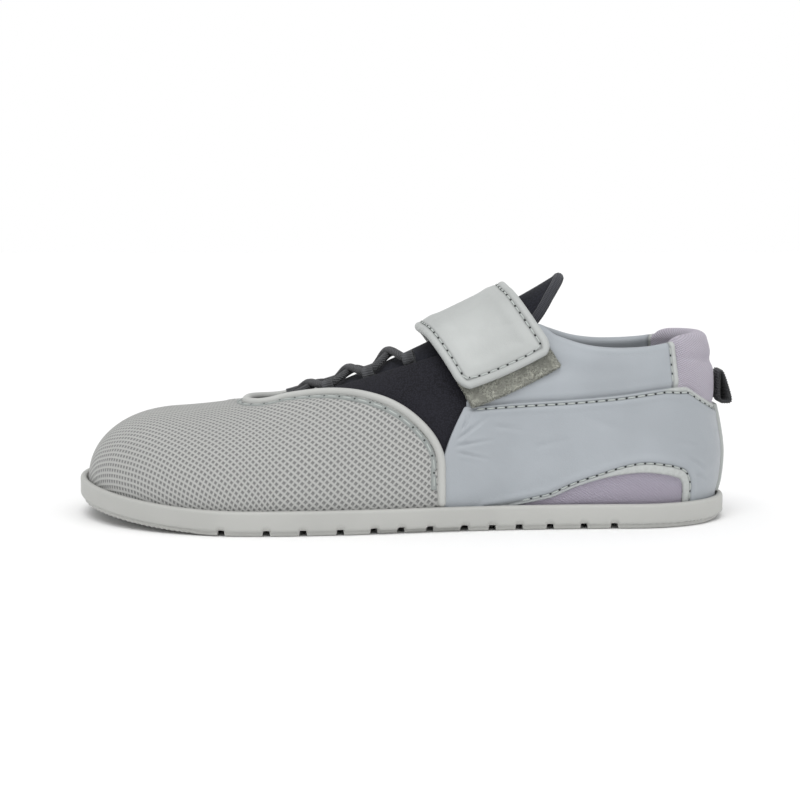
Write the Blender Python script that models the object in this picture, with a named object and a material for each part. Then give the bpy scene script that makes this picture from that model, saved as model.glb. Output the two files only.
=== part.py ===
"""A child's barefoot shoe for the left foot, empty and unbent on its sole.

The frame: +X runs from heel to toe, +Y is the lateral side and +Z is up. The origin
is on the ground under the middle of the heel. The upper, its panels and the sole are
all worked out from one last. A ray from the last's spine, at a place round the shoe
and at an angle up from the base, meets the last's skin at one point.
"""

import math
from collections import namedtuple

import bmesh
import bpy
import numpy as np

# Outsole
sole_length = 0.200
ball_width = 0.0815
sole_side = 0.0074          # top of the side wall above the ground
sole_floor = 0.0042         # tread and base together, under the foot
sole_rim = 0.0019           # thickness of the cup's wall
sole_round = 0.0010         # rounding of the side wall's edges
tread_rise = 0.0013         # how far the lugs stand below the side wall
tread_inset = 0.0021        # how far they stand in from its outline
toe_spring = 0.0050
heel_bevel = 0.0014
toe_swing = 0.0090          # how far the toe's tip lies to the medial side
tread_draft = 0.0004        # how far the lugs' sides lean in
groove_width = 0.0022
groove_depth = 0.0017

# Last and upper
instep_height = 0.0625
heel_height = 0.0500        # collar above the last's base at the back
wall = 0.0016
heel_swell = 0.0016         # how far the heel's sides bulge
toe_swell = 0.0006
swell_height = 0.0120       # where they bulge most, above the base
throat_half_gap = 0.0150
throat_front = 0.0100       # from the spine's front end to the throat's front edge

# Overlays and soft parts
leather = 0.0012
window_height = 0.0093
binding_width = 0.0024
binding_height = 0.0023
collar_puff = 0.0028
collar_fade = 0.0040        # length over which the puff swells up from its ends
collar_least = 0.25         # share of the puff that its ends keep
heel_tape_width = 0.0080
heel_tape = 0.0007
insole_thickness = 0.0026
tongue_thickness = 0.0030
tongue_back_half = 0.0195
tongue_front_half = 0.0140
tongue_round = 0.45         # share of the width that the top's corners take off
strap_width = 0.0280
strap_thickness = 0.0026
strap_lean = 0.46           # how far its sides fall back for each unit of their length
strap_bend = 0.0090         # length over which that turns round on the ridge
strap_free = 0.0345         # from the ridge down to the free lateral end
strap_fixed = 0.0330        # from the ridge down to the medial end
strap_corner = 0.0050       # length of its rounded corners
strap_taper = 0.0066        # how much narrower they make its very end
strap_climb = 0.0040        # from the ridge, where it starts to climb on the pad
climb_length = 0.0100
pad_thickness = 0.0014
pad_length = 0.0180
pad_show = 0.0048           # how far the pile pad shows below the strap's end
pad_inset = 0.0010          # from the strap's long edges to the pad's
lace_radius = 0.0012
lace_rows = 3
pull_width = 0.0110
pull_depth = 0.0058         # how far the loop stands out at its foot
pull_close = 0.6            # and at its head, as a share of that
pull_height = 0.0104
pull_band = 0.0012
pull_rise = 0.0045          # the loop's middle above the seam

# Fits
gap = 0.0003
least_column = 0.0008       # between a panel's own columns and those of the round
vamp_flank = 0.0150         # stretch in front of the side seam with columns of its own

# Places along the shoe, as shares of its length from the heel's end
heel_centre = 0.150         # the origin
seam_place = 0.440          # the side seam
strap_place = 0.400         # the strap's middle on the ridge
lace_start = 0.4875
lace_end = 0.670
collar_back = 0.078         # where the collar's leather meets its soft back
collar_ends = 0.265         # where the edge stops following the collar's heights
throat_begins = 0.315       # where it starts to follow the throat's width
tongue_top = 0.262
tongue_corner = 0.310       # where the tongue's rounded top starts
tongue_end = 0.755
collar_front_end = -0.035   # from the side seam, where the collar's leather runs out
heel_line_fade = 0.35       # where the heel's back line stops to matter
swing_start = 0.45          # where the middle line starts to swing
spring_start = 0.72         # where the toe starts to lift
bevel_end = 0.05
swell_start = 0.30          # where the heel's swell starts to fade to the toe's
swell_end = 0.60

# The spine's straight stretch, and how much room the fans of rays round the heel and
# the toe take on the scale of places round the shoe: shares of the length too.
heel_turn, toe_turn = 0.150, 0.680
sole_turn = 0.800           # where the sole's own fan of columns starts
heel_arc, toe_arc = 0.2275, 0.415

# The last's stations from heel to toe. along is a share of the length, lateral and
# medial are shares of half the ball width, ridge is a share of the instep height and
# square is the exponent of the section: 2 is an ellipse, more is squarer.
Station = namedtuple("Station", "along lateral medial ridge square")
STATIONS = [
    Station(0.000, 0.715, 0.700, 1.400, 2.30),
    Station(0.150, 0.715, 0.700, 1.330, 2.30),
    Station(0.250, 0.740, 0.695, 1.150, 2.20),
    Station(0.350, 0.790, 0.670, 0.985, 2.05),
    Station(0.450, 0.875, 0.685, 0.835, 2.00),
    Station(0.550, 0.990, 0.755, 0.690, 2.05),
    Station(0.650, 1.100, 0.820, 0.565, 2.15),
    Station(0.725, 1.160, 0.830, 0.490, 2.25),
    Station(0.800, 1.180, 0.815, 0.445, 2.35),
    Station(0.880, 1.180, 0.810, 0.405, 2.40),
    Station(1.000, 1.180, 0.810, 0.355, 2.40),
]
# Round ends: the share of the length where each starts, and its exponent.
HEEL_ROUND = (0.855, 2.05)
LATERAL_TOE = (0.730, 2.2)
MEDIAL_TOE = (0.800, 2.4)
RIDGE_TOE = (0.860, 2.3)

# The heel's back line: height as a share of the heel height, and how far the skin
# lies forward of the base's end there, as a share of the heel height too.
HEEL_LINE = [(0.00, 0.000), (0.06, 0.000), (0.15, -0.018), (0.30, -0.030),
             (0.50, -0.004), (0.75, 0.060), (1.00, 0.110), (1.80, 0.190)]

# Edges. Places are shares of the length from the heel's end. Heights above the base
# are shares of the heel height, the throat's are shares of its half gap.
COLLAR = [(0.00, 1.000), (0.06, 0.985), (0.12, 0.955), (0.175, 0.945),
          (0.225, 0.965), (0.265, 1.015), (0.295, 1.060), (0.34, 1.080)]
THROAT = [(0.26, 1.20), (0.32, 1.12), (0.40, 1.05), (0.50, 1.00), (0.60, 0.94),
          (0.68, 0.84)]
QUARTER_TOP = [(0.00, 0.590), (0.02, 0.610), (0.045, 0.680), (0.070, 0.742),
               (0.120, 0.730), (0.180, 0.700), (0.240, 0.678), (0.310, 0.660),
               (0.380, 0.640), (0.420, 0.630)]
WINDOW_TOP = [(0.079, 0.10), (0.080, 0.36), (0.084, 0.70), (0.093, 0.83),
              (0.115, 0.95), (0.139, 1.00), (0.170, 0.94), (0.205, 0.79),
              (0.240, 0.56), (0.262, 0.34), (0.272, 0.10)]

# The opening in front of the quarter and behind the vamp, on each side: how far
# ahead of the side seam, as a share of the length, and length up the skin as a share
# of the way to the edge.
QUARTER_FRONT = [(-0.140, 1.050), (-0.115, 1.010), (-0.095, 0.950), (-0.080, 0.880),
                 (-0.065, 0.800), (-0.050, 0.710), (-0.035, 0.620), (-0.020, 0.510),
                 (-0.010, 0.420), (-0.004, 0.350)]
BINDING = [(0.000, 0.082), (0.000, 0.140), (0.000, 0.210), (0.000, 0.280),
           (0.0015, 0.340), (0.007, 0.405), (0.017, 0.475), (0.032, 0.550),
           (0.052, 0.630), (0.078, 0.710), (0.110, 0.785), (0.140, 0.845),
           (0.170, 0.895), (0.200, 0.935)]
GROOVES = [0.1815, 0.2265, 0.277, 0.323, 0.363, 0.4035, 0.454, 0.4965, 0.5365,
           0.586, 0.640, 0.6935, 0.7605]

# Columns per side in each part of the whole round, and rows as shares of the way up
HEEL_COLUMNS, SIDE_COLUMNS, TOE_COLUMNS = 8, 17, 11
WALL_ROWS = [0, 0.06, 0.15, 0.27, 0.41, 0.58, 0.79, 1]
VAMP_ROWS = [0, 0.06, 0.13, 0.21, 0.30, 0.40, 0.52, 0.66, 0.82, 1]

MATERIALS = {
    "rubber": ((0.52, 0.52, 0.50, 1.0), 0.55),
    "vamp_textile": ((0.46, 0.46, 0.43, 1.0), 0.85),
    "leather": ((0.38, 0.41, 0.44, 1.0), 0.50),
    "lilac_textile": ((0.38, 0.345, 0.40, 1.0), 0.90),
    "binding": ((0.54, 0.55, 0.53, 1.0), 0.55),
    "strap_leather": ((0.56, 0.58, 0.57, 1.0), 0.50),
    "loop_pile": ((0.45, 0.45, 0.40, 1.0), 0.95),
    "dark_textile": ((0.030, 0.030, 0.036, 1.0), 0.90),
    "dark_webbing": ((0.040, 0.040, 0.045, 1.0), 0.80),
}

base_inset = sole_rim + 1.5 * gap + leather + gap
cup_depth = sole_side - sole_floor - gap
spine_back, spine_front = heel_turn * sole_length, toe_turn * sole_length
side_start = heel_arc * sole_length
side_end = side_start + spine_front - spine_back
half_round = side_end + toe_arc * sole_length


def curve(rows):
    """A smooth curve through (place, value) rows that does not overshoot them."""
    x, y = (np.array(column, float) for column in zip(*rows))
    slope = np.diff(y) / np.diff(x)
    tangent = np.concatenate([slope[:1], (slope[1:] + slope[:-1]) / 2, slope[-1:]])
    tangent[1:-1] = np.where(slope[1:] * slope[:-1] > 0, tangent[1:-1], 0)
    for i, value in enumerate(slope):
        limit = 3 * abs(value)
        tangent[i] = max(-limit, min(limit, tangent[i]))
        tangent[i + 1] = max(-limit, min(limit, tangent[i + 1]))

    def value(at):
        at = np.clip(np.asarray(at, float), x[0], x[-1])
        i = np.clip(np.searchsorted(x, at) - 1, 0, len(slope) - 1)
        width = x[i + 1] - x[i]
        t = (at - x[i]) / width
        rise = (3 - 2 * t) * t * t
        return (y[i] + (y[i + 1] - y[i]) * rise
                + tangent[i] * width * t * (1 - t) ** 2
                - tangent[i + 1] * width * t * t * (1 - t))

    return value


def smooth_step(t):
    t = np.clip(t, 0, 1)
    return t * t * (3 - 2 * t)


lateral_curve = curve([(s.along, s.lateral) for s in STATIONS])
medial_curve = curve([(s.along, s.medial) for s in STATIONS])
ridge_curve = curve([(s.along, s.ridge) for s in STATIONS])
square_curve = curve([(s.along, s.square) for s in STATIONS])
heel_line = curve(HEEL_LINE)
collar_curve = curve(COLLAR)
throat_curve = curve(THROAT)
quarter_top_curve = curve(QUARTER_TOP)
quarter_front_curve = curve(QUARTER_FRONT)
window_curve = curve(WINDOW_TOP)


def round_end(t, start, power):
    """1 before start, falling to 0 at t = 1 as a superellipse does."""
    u = np.clip((t - start) / (1 - start), 0, 1)
    return (1 - u ** power) ** (1 / power)


def centre_line(x):
    """The plan's middle line, which swings to the medial side at the toe."""
    return -toe_swing * smooth_step((x / sole_length - swing_start) / (1 - swing_start))


def spring(x):
    """How far the toe lifts the sole and the last off the ground."""
    lifted = (x / sole_length - spring_start) / (1 - spring_start)
    return toe_spring * np.clip(lifted, 0, 1) ** 2


def bevel(x):
    """How far the heel's end of the tread is cut away above the ground."""
    return heel_bevel * np.clip(1 - x / (bevel_end * sole_length), 0, 1) ** 2


def outside(x, y, z):
    """Below 0 inside the last and 0 on its skin. z is counted from the base."""
    back = heel_line(z / heel_height) * heel_height
    x = x - back * (1 - smooth_step(x / (heel_line_fade * sole_length)))
    t = (x - base_inset) / (sole_length - 2 * base_inset)
    beyond = (t <= 0) | (t >= 1)
    t = np.clip(t, 1e-6, 1 - 1e-6)
    side = y - centre_line(x)
    share = np.where(side > 0, lateral_curve(t), medial_curve(t))
    toe = np.where(side > 0, round_end(t, *LATERAL_TOE), round_end(t, *MEDIAL_TOE))
    wide = (share * ball_width / 2 - base_inset) * toe * round_end(1 - t, *HEEL_ROUND)
    rise = np.clip(z - cup_depth, 0, None) / swell_height
    fade = smooth_step((t - swell_start) / (swell_end - swell_start))
    most = heel_swell + (toe_swell - heel_swell) * fade
    wide = wide * (1 + most * rise * np.exp(1 - rise) / (0.4 * ball_width))
    high = ridge_curve(t) * instep_height * round_end(t, *RIDGE_TOE)
    square = square_curve(t)
    found = ((np.abs(side) / np.maximum(wide, 1e-6)) ** square
             + (np.maximum(z, 0) / np.maximum(high, 1e-6)) ** square - 1)
    return np.where(beyond, 9.0, found)


def round_rays(place, angle):
    """Rays from the spine at a place round the shoe and an angle up from the base.

    A place is a length from the middle of the heel's back: positive along the
    lateral side, negative along the medial side, and half_round at the toe's tip.
    """
    place = (place + half_round) % (2 * half_round) - half_round
    side = np.where(place >= 0, 1.0, -1.0)
    along = np.abs(place)
    x = np.clip(along - side_start, 0, spine_front - spine_back) + spine_back
    behind = np.clip(1 - along / side_start, 0, 1) * math.pi / 2
    ahead = np.clip((along - side_end) / (half_round - side_end), 0, 1)
    tip = math.atan2(centre_line(sole_length) - centre_line(spine_front),
                     sole_length - spine_front)
    turn = math.pi / 2 + behind + ahead * (side * tip - math.pi / 2)
    flat = np.cos(angle)
    way = np.stack([np.cos(turn) * flat, side * np.sin(turn) * flat, np.sin(angle)], 1)
    return np.stack([x, centre_line(x), 0 * x], 1), way


def cross_rays(x, angle):
    """Rays in the plane across the shoe at x: angle 0 is lateral, pi is medial."""
    way = np.stack([0 * x, np.cos(angle), np.sin(angle)], 1)
    return np.stack([x, centre_line(x), 0 * x], 1), way


def skin(rays, place, angle):
    """The points where the rays leave the last."""
    start, way = rays(place, angle)
    near, far = np.zeros(len(start)), np.full(len(start), 0.6 * sole_length)
    for _ in range(30):
        middle = (near + far) / 2
        out = outside(*(start + way * middle[:, None]).T) > 0
        far = np.where(out, middle, far)
        near = np.where(out, near, middle)
    return start + way * near[:, None], way


def raised(rays, place, angle, offset):
    """Points that stand off the skin, on the base's sprung curve."""
    points, way = skin(rays, place, angle)
    reach, tilt = 0.002 * sole_length, 0.005
    along = skin(rays, place + reach, angle)[0] - skin(rays, place - reach, angle)[0]
    up = skin(rays, place, angle + tilt)[0] - skin(rays, place, angle - tilt)[0]
    normal = np.cross(along, up)
    normal /= np.linalg.norm(normal, axis=1)[:, None]
    normal *= np.sign((normal * way).sum(1))[:, None]
    points = points + normal * np.asarray(offset)[:, None]
    points[:, 2] += spring(points[:, 0]) + sole_floor + gap
    return points, normal


# A chart of the skin: for each place and angle the length up the skin, the height
# above the base and the distance out from the spine.
Chart = namedtuple("Chart", "rays places angles run high out")


def chart(rays, places, angles, zero):
    place, angle = np.meshgrid(places, angles, indexing="ij")
    points, _ = skin(rays, place.ravel(), angle.ravel())
    points = points.reshape(place.shape + (3,))
    start = rays(place.ravel(), angle.ravel())[0].reshape(points.shape)
    steps = np.linalg.norm(np.diff(points, axis=1), axis=2)
    run = np.concatenate([0 * place[:, :1], np.cumsum(steps, axis=1)], axis=1)
    run = run - run[:, [zero]]
    out = np.linalg.norm((points - start)[..., :2], axis=2)
    return Chart(rays, places, angles, run, points[..., 2], out)


around = chart(round_rays, np.linspace(-half_round, half_round, 301),
               np.radians(np.linspace(0, 88, 67)), 0)
across = chart(cross_rays, np.linspace(0.18, 0.80, 63) * sole_length,
               np.radians(np.linspace(2, 178, 133)), 66)


def rows_at(skin_chart, rows, place):
    """A chart's rows at places between its own."""
    i = np.clip(np.searchsorted(skin_chart.places, place) - 1, 0, len(rows) - 2)
    first, second = skin_chart.places[i], skin_chart.places[i + 1]
    share = ((place - first) / (second - first))[:, None]
    return rows[i] * (1 - share) + rows[i + 1] * share


def meet(wanted, row, result):
    """result where each rising row reaches its wanted value."""
    k = np.clip((row < wanted[:, None]).sum(1), 1, row.shape[1] - 1)
    n = np.arange(len(row))
    low, high = row[n, k - 1], row[n, k]
    share = np.clip((wanted - low) / (high - low), 0, 1)
    result = np.broadcast_to(result, row.shape)
    return result[n, k - 1] * (1 - share) + result[n, k] * share


def stand_off(skin_chart, place, length, offset):
    """Points at lengths along the skin from the chart's zero, and their normals."""
    place, length, offset = np.broadcast_arrays(place, length, offset)
    shape = place.shape
    place, length, offset = (np.ravel(v).astype(float) for v in (place, length, offset))
    angle = meet(length, rows_at(skin_chart, skin_chart.run, place), skin_chart.angles)
    points, normals = raised(skin_chart.rays, place, angle, offset)
    return points.reshape(shape + (3,)), normals.reshape(shape + (3,))


def place_at(x):
    """The place round the shoe where the base lies x from the heel's end."""
    x = np.asarray(x, float)
    back = np.arccos(np.clip((spine_back - x) / (spine_back - base_inset), 0, 1))
    return np.where(x < spine_back, back * side_start * 2 / math.pi,
                    x - spine_back + side_start)


def share_at(place):
    """Share of the length where a place on the side lies: place_at turned round."""
    place = np.abs(place)
    back = spine_back - (spine_back - base_inset) * np.cos(
        np.minimum(place, side_start) / side_start * math.pi / 2)
    x = np.where(place < side_start, back, place - side_start + spine_back)
    return x / sole_length


def length_at_height(place, height):
    """Length up the skin where it reaches a height above the base."""
    high = rows_at(around, around.high, place)
    return meet(np.broadcast_to(height, place.shape), high,
                rows_at(around, around.run, place))


def edge_length(place):
    """Length up the skin to the collar's edge and the throat's."""
    share = share_at(place)
    collar = length_at_height(place, collar_curve(share) * heel_height)
    ahead = smooth_step((np.abs(place) - side_end) / (half_round - side_end))
    half = throat_curve(share) * throat_half_gap
    half = half + (throat_front - half) * ahead
    throat = meet(-half, -rows_at(around, around.out, place),
                  rows_at(around, around.run, place))
    mix = smooth_step((share - collar_ends) / (throat_begins - collar_ends))
    return collar + (throat - collar) * mix


def seam_length(place):
    """Length up the skin to the seam between the quarter and the collar's pieces."""
    height = quarter_top_curve(share_at(place)) * heel_height
    return length_at_height(place, height)


def quarter_front(place):
    """Length up the skin to the leather's edge, in front of the collar too."""
    share = np.minimum(quarter_front_curve(share_at(place) - seam_place), 1)
    return edge_length(place) * share


def binding_side(side):
    """Places and lengths along one side's binding, from the sole to the toe's line."""
    table = np.array(BINDING)
    place = side * np.concatenate([
        place_at((seam_place + table[:, 0]) * sole_length),
        np.linspace(side_end - 0.01 * sole_length, half_round, 10),
    ])
    edge = edge_length(place)
    length = edge - binding_width / 2 - gap
    length[:len(table)] = edge[:len(table)] * table[:, 1]
    return place, length


def vamp_edge(place):
    """Length up the skin to the vamp's free edge, under the binding's lower side."""
    edges = []
    for side in (1, -1):
        path_place, path_length = binding_side(side)
        path_place = np.abs(path_place[3:]) + 1e-6 * np.arange(len(path_place) - 3)
        rise = np.clip(np.gradient(path_length[3:], path_place), 0, 6)
        under = path_length[3:] - (binding_width / 2 + gap) * np.sqrt(1 + rise ** 2)
        edges.append(np.interp(np.abs(place), path_place, under))
    return np.where(place >= 0, edges[0], edges[1])


def make(name, material, points, faces, smooth_angle=40):
    """One named object from points in the shoe's own frame."""
    mesh = bpy.data.meshes.new(name)
    points = np.asarray(points, float) - np.array([heel_centre * sole_length, 0, 0])
    mesh.from_pydata([tuple(p) for p in points], [], [tuple(f) for f in faces])
    work = bmesh.new()
    work.from_mesh(mesh)
    bmesh.ops.remove_doubles(work, verts=work.verts, dist=2e-6)
    bmesh.ops.dissolve_degenerate(work, edges=work.edges, dist=1e-6)
    bmesh.ops.triangulate(work, faces=work.faces)
    bmesh.ops.recalc_face_normals(work, faces=work.faces)
    work.to_mesh(mesh)
    work.free()
    for face in mesh.polygons:
        face.use_smooth = True
    mesh.set_sharp_from_angle(angle=math.radians(smooth_angle))
    item = bpy.data.objects.new(name, mesh)
    bpy.context.scene.collection.objects.link(item)
    item.data.materials.append(material)
    return item


def shell(top, bottom, closed):
    """Points and faces of the solid between two grids of points."""
    columns, rows = top.shape[:2]
    points = np.concatenate([top.reshape(-1, 3), bottom.reshape(-1, 3)])
    under = columns * rows
    faces = []
    for i in range(columns if closed else columns - 1):
        n = (i + 1) % columns
        for j in range(rows - 1):
            quad = [i * rows + j, n * rows + j, n * rows + j + 1, i * rows + j + 1]
            faces.append(quad)
            faces.append([under + v for v in reversed(quad)])
        for j in (0, rows - 1):
            faces.append([i * rows + j, under + i * rows + j,
                          under + n * rows + j, n * rows + j])
    if not closed:
        for i in (0, columns - 1):
            for j in range(rows - 1):
                v = i * rows + j
                faces.append([v, v + 1, under + v + 1, under + v])
    return points, faces


def even_rows(count):
    return np.linspace(0, 1, count)


def panel(name, material, places, low, high, rows, inner, outer):
    """A sheet between two lengths at each place, between two heights off the skin."""
    share = np.array(rows)
    place = np.repeat(places[:, None], len(rows), axis=1)
    length = low[:, None] + (high - low)[:, None] * share
    closed = places[0] == -places[-1] and places[0] == -half_round
    if closed:
        place, length = place[:-1], length[:-1]
    top, _ = stand_off(around, place, length, outer)
    bottom, _ = stand_off(around, place, length, inner)
    return make(name, material, *shell(top, bottom, closed))


def swept(name, material, path, normals, section):
    """A bar with a constant section, (side, up) rows, along an open path."""
    tangent = np.gradient(path, axis=0)
    tangent /= np.linalg.norm(tangent, axis=1)[:, None]
    side = np.cross(tangent, normals)
    side /= np.linalg.norm(side, axis=1)[:, None]
    up = np.cross(side, tangent)
    section = np.array(section)
    points = (path[:, None] + side[:, None] * section[None, :, :1]
              + up[:, None] * section[None, :, 1:])
    count = len(section)
    faces = [list(range(count)), list(range((len(path) - 1) * count,
                                            len(path) * count))]
    for i in range(len(path) - 1):
        for j in range(count):
            n = (j + 1) % count
            faces.append([i * count + j, i * count + n,
                          (i + 1) * count + n, (i + 1) * count + j])
    return make(name, material, points.reshape(-1, 3), faces)


def round_places():
    """The whole round's places, closer together round the heel and the toe."""
    side = np.concatenate([
        np.linspace(0, side_start, HEEL_COLUMNS + 1)[:-1],
        np.linspace(side_start, side_end, SIDE_COLUMNS + 1)[:-1],
        np.linspace(side_end, half_round, TOE_COLUMNS + 1),
    ])
    return np.concatenate([-side[::-1], side[1:]])


def places_between(first, last, *more):
    """The round's places between two others, with those and any more in order."""
    places = round_places()
    wanted = np.sort(np.concatenate([[first, last], *more]))
    inside = places[(places > first) & (places < last)]
    clear = np.abs(inside[:, None] - wanted[None, :]).min(1) > least_column
    return np.sort(np.concatenate([wanted, inside[clear]]))


def base_outline(places, offset, height=0.0):
    """The last's outline at a height above its base, moved outward by offset."""
    length = length_at_height(places, height + 0 * places)
    points, _ = stand_off(around, places, length, offset)
    return points[:, :2]


def build_upper(material):
    places = round_places()
    low = np.full(len(places), gap)
    return panel("upper", material, places, low, edge_length(places), WALL_ROWS,
                 -wall, 0.0)


def build_vamp(material):
    start = float(place_at(seam_place * sole_length + binding_width / 2 + gap))
    side = places_between(start, half_round - 1e-9,
                          start + np.linspace(0.2, 1, 4) * vamp_flank)
    places = np.concatenate([side, 2 * half_round - side[-2::-1]])
    low = np.full(len(places), gap)
    wrapped = (places + half_round) % (2 * half_round) - half_round
    high = vamp_edge(wrapped)
    length = low[:, None] + (high - low)[:, None] * np.array(VAMP_ROWS)
    place = np.repeat(wrapped[:, None], len(VAMP_ROWS), axis=1)
    top, _ = stand_off(around, place, length, gap + leather)
    bottom, _ = stand_off(around, place, length, gap)
    return make("vamp", material, *shell(top, bottom, False))


def build_quarter(material):
    end = float(place_at(seam_place * sole_length - binding_width / 2 - gap))
    window = place_at(np.array(WINDOW_TOP)[:, 0] * sole_length)
    foot = np.array([window[0] - gap / 3, window[-1] + gap / 3])
    places = places_between(-end, end, window, foot)
    low = np.full(len(places), gap)
    inside = (places >= window[0] - 1e-9) & (places <= window[-1] + 1e-9)
    low = np.where(inside, cup_depth + window_curve(share_at(places)) * window_height,
                   low)
    high = np.minimum(seam_length(places), quarter_front(places)) - gap / 2
    return panel("quarter", material, places, low, high, even_rows(7), gap,
                 gap + leather)


def build_window(material):
    table = np.array(WINDOW_TOP)
    places = place_at(table[:, 0] * sole_length)
    places = places_between(places[0] + gap, places[-1] - 2 * gap, places[1:-1])
    low = np.full(len(places), gap)
    high = cup_depth + window_curve(share_at(places)) * window_height - gap
    return panel("side_window", material, places, low, high, even_rows(3), gap,
                 0.7 * leather)


def build_collar_front(material, side, name):
    first = float(place_at(collar_back * sole_length))
    end = (seam_place + collar_front_end) * sole_length
    places = places_between(first, float(place_at(end)),
                            place_at(end - np.array([0.035, 0.0225, 0.010]) * sole_length))
    low = seam_length(side * places) + gap / 2
    high = quarter_front(side * places)
    keep = high - low > 5 * gap
    places, low, high = places[keep] * side, low[keep], high[keep]
    return panel(name, material, places, low, high, even_rows(4), gap, gap + leather)


def build_collar_roll(material):
    last = float(place_at(collar_back * sole_length)) - gap
    places = places_between(-last, last)
    low = seam_length(places) + gap
    high = edge_length(places) + leather
    share = even_rows(6)
    place = np.repeat(places[:, None], len(share), axis=1)
    length = low[:, None] + (high - low)[:, None] * share
    puff = collar_puff * np.sin(np.pi * (0.08 + 0.84 * share)) ** 0.7
    across_roll = np.clip((last - np.abs(places)) / collar_fade, 0, 1) ** 0.5
    swell = collar_least + (1 - collar_least) * across_roll[:, None]
    outer = gap + leather * 0.6 + puff[None, :] * swell
    top, _ = stand_off(around, place, length, outer)
    bottom, _ = stand_off(around, place, length, gap)
    return make("collar_roll", material, *shell(top, bottom, False))


def build_heel_tape(material):
    places = np.linspace(-heel_tape_width / 2, heel_tape_width / 2, 3)
    low = np.full(3, cup_depth + 2 * gap)
    high = seam_length(places) - 4 * gap
    inner = 2 * gap + leather
    return panel("heel_tape", material, places, low, high, even_rows(8), inner,
                 inner + heel_tape)


def loop_ring(turns, inset):
    """The pull loop's outline, as out from its seat and up from its middle: its foot
    stands out and its head closes up to the collar."""
    out, up = (np.sign(v) * np.abs(v) ** 0.8 for v in (np.cos(turns), np.sin(turns)))
    up = up * (pull_height / 2 - inset)
    depth = pull_depth * (1 - (1 - pull_close) * (0.5 + up / pull_height))
    return depth / 2 + out * (depth / 2 - inset), up


def build_pull_loop(material):
    low = float(seam_length(np.array([0.0]))[0])
    middle, _ = stand_off(around, np.array([0.0]), np.array([low + pull_rise]),
                          np.array([gap + 0.6 * leather + 0.86 * collar_puff]))
    seat_x, _, middle_z = middle[0]
    turns = np.linspace(0, 2 * math.pi, 21)[:-1]
    points, faces = [], []
    for y in (-pull_width / 2, pull_width / 2):
        for inset in (0, pull_band):
            points += [(seat_x - gap / 2 - out, y, middle_z + up)
                       for out, up in zip(*loop_ring(turns, inset))]
    count = len(turns)
    for i in range(count):
        n = (i + 1) % count
        faces.append([i, n, 2 * count + n, 2 * count + i])
        faces.append([count + n, count + i, 3 * count + i, 3 * count + n])
        faces.append([n, i, count + i, count + n])
        faces.append([2 * count + i, 2 * count + n, 3 * count + n, 3 * count + i])
    return make("pull_loop", material, points, faces)


def build_binding(material):
    place, length = (np.concatenate([lateral, medial[-2::-1]])
                     for lateral, medial in zip(binding_side(1), binding_side(-1)))
    path, normals = stand_off(around, place, length, gap + 0 * place)
    half, height = binding_width / 2, binding_height
    section = [(-half, 0), (half, 0), (half, 0.55 * height), (0.6 * half, 0.9 * height),
               (0, height), (-0.6 * half, 0.9 * height), (-half, 0.55 * height)]
    return swept("throat_binding", material, path, normals, section)


def over_panel(name, material, start, end, width, columns, rows, lean, inner, outer):
    """A sheet over the instep. start and end are lengths from the ridge, lateral
    positive; lean and the heights off the skin are functions of that length."""
    girth = np.linspace(start, end, columns)
    x = lean(girth)[:, None] + np.linspace(-0.5, 0.5, rows)[None, :] * width(girth)[:, None]
    girth = np.repeat(girth[:, None], rows, axis=1)
    top, _ = stand_off(across, x, -girth, outer(girth))
    bottom, _ = stand_off(across, x, -girth, inner(girth))
    return make(name, material, *shell(top, bottom, False))


def strap_middle(girth):
    """The strap's middle, which leans back on both sides of the ridge."""
    back = strap_lean * (np.hypot(girth, strap_bend) - strap_bend)
    return strap_place * sole_length - back


def strap_seat(girth):
    """Height off the skin of the strap's inner side: more over the pile pad."""
    on_leather = 2 * gap + leather
    on_pad = on_leather + pad_thickness + gap
    return on_leather + (on_pad - on_leather) * smooth_step((girth - strap_climb) / climb_length)


def strap_breadth(girth):
    """The strap's width, with rounded corners at its free end."""
    from_end = np.clip((strap_free - girth) / strap_corner, 0, 1)
    return strap_width - strap_taper * (1 - np.sqrt(1 - (1 - from_end) ** 2))


def build_strap(material):
    return over_panel("strap", material, -strap_fixed, strap_free, strap_breadth, 21, 4,
                      strap_middle, strap_seat,
                      lambda girth: strap_seat(girth) + strap_thickness)


def build_pad(material):
    end = strap_free + pad_show
    return over_panel("loop_pad", material, end - pad_length, end,
                      lambda girth: strap_width - 2 * pad_inset + 0 * girth, 5, 4,
                      strap_middle,
                      lambda girth: 2 * gap + leather + 0 * girth,
                      lambda girth: 2 * gap + leather + pad_thickness + 0 * girth)


def tongue_half(share):
    """Half the tongue's width at a share of the length, with its top's corners."""
    narrow = smooth_step((share - tongue_corner) / (lace_end - tongue_corner))
    half = tongue_back_half + (tongue_front_half - tongue_back_half) * narrow
    corner = np.clip((tongue_corner - share) / (tongue_corner - tongue_top), 0, 1)
    return half * (1 - tongue_round * corner ** 2)


def build_tongue(material):
    share = np.concatenate([np.linspace(tongue_top, tongue_corner, 5)[:-1],
                            np.linspace(tongue_corner, tongue_end, 12)])
    girth = tongue_half(share)[:, None] * np.linspace(-1, 1, 8)[None, :]
    x = np.repeat(share[:, None] * sole_length, 8, axis=1)
    top, _ = stand_off(across, x, -girth, -wall - 1.5 * gap)
    bottom, _ = stand_off(across, x, -girth, -wall - 1.5 * gap - tongue_thickness)
    return make("tongue", material, *shell(top, bottom, False))


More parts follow.
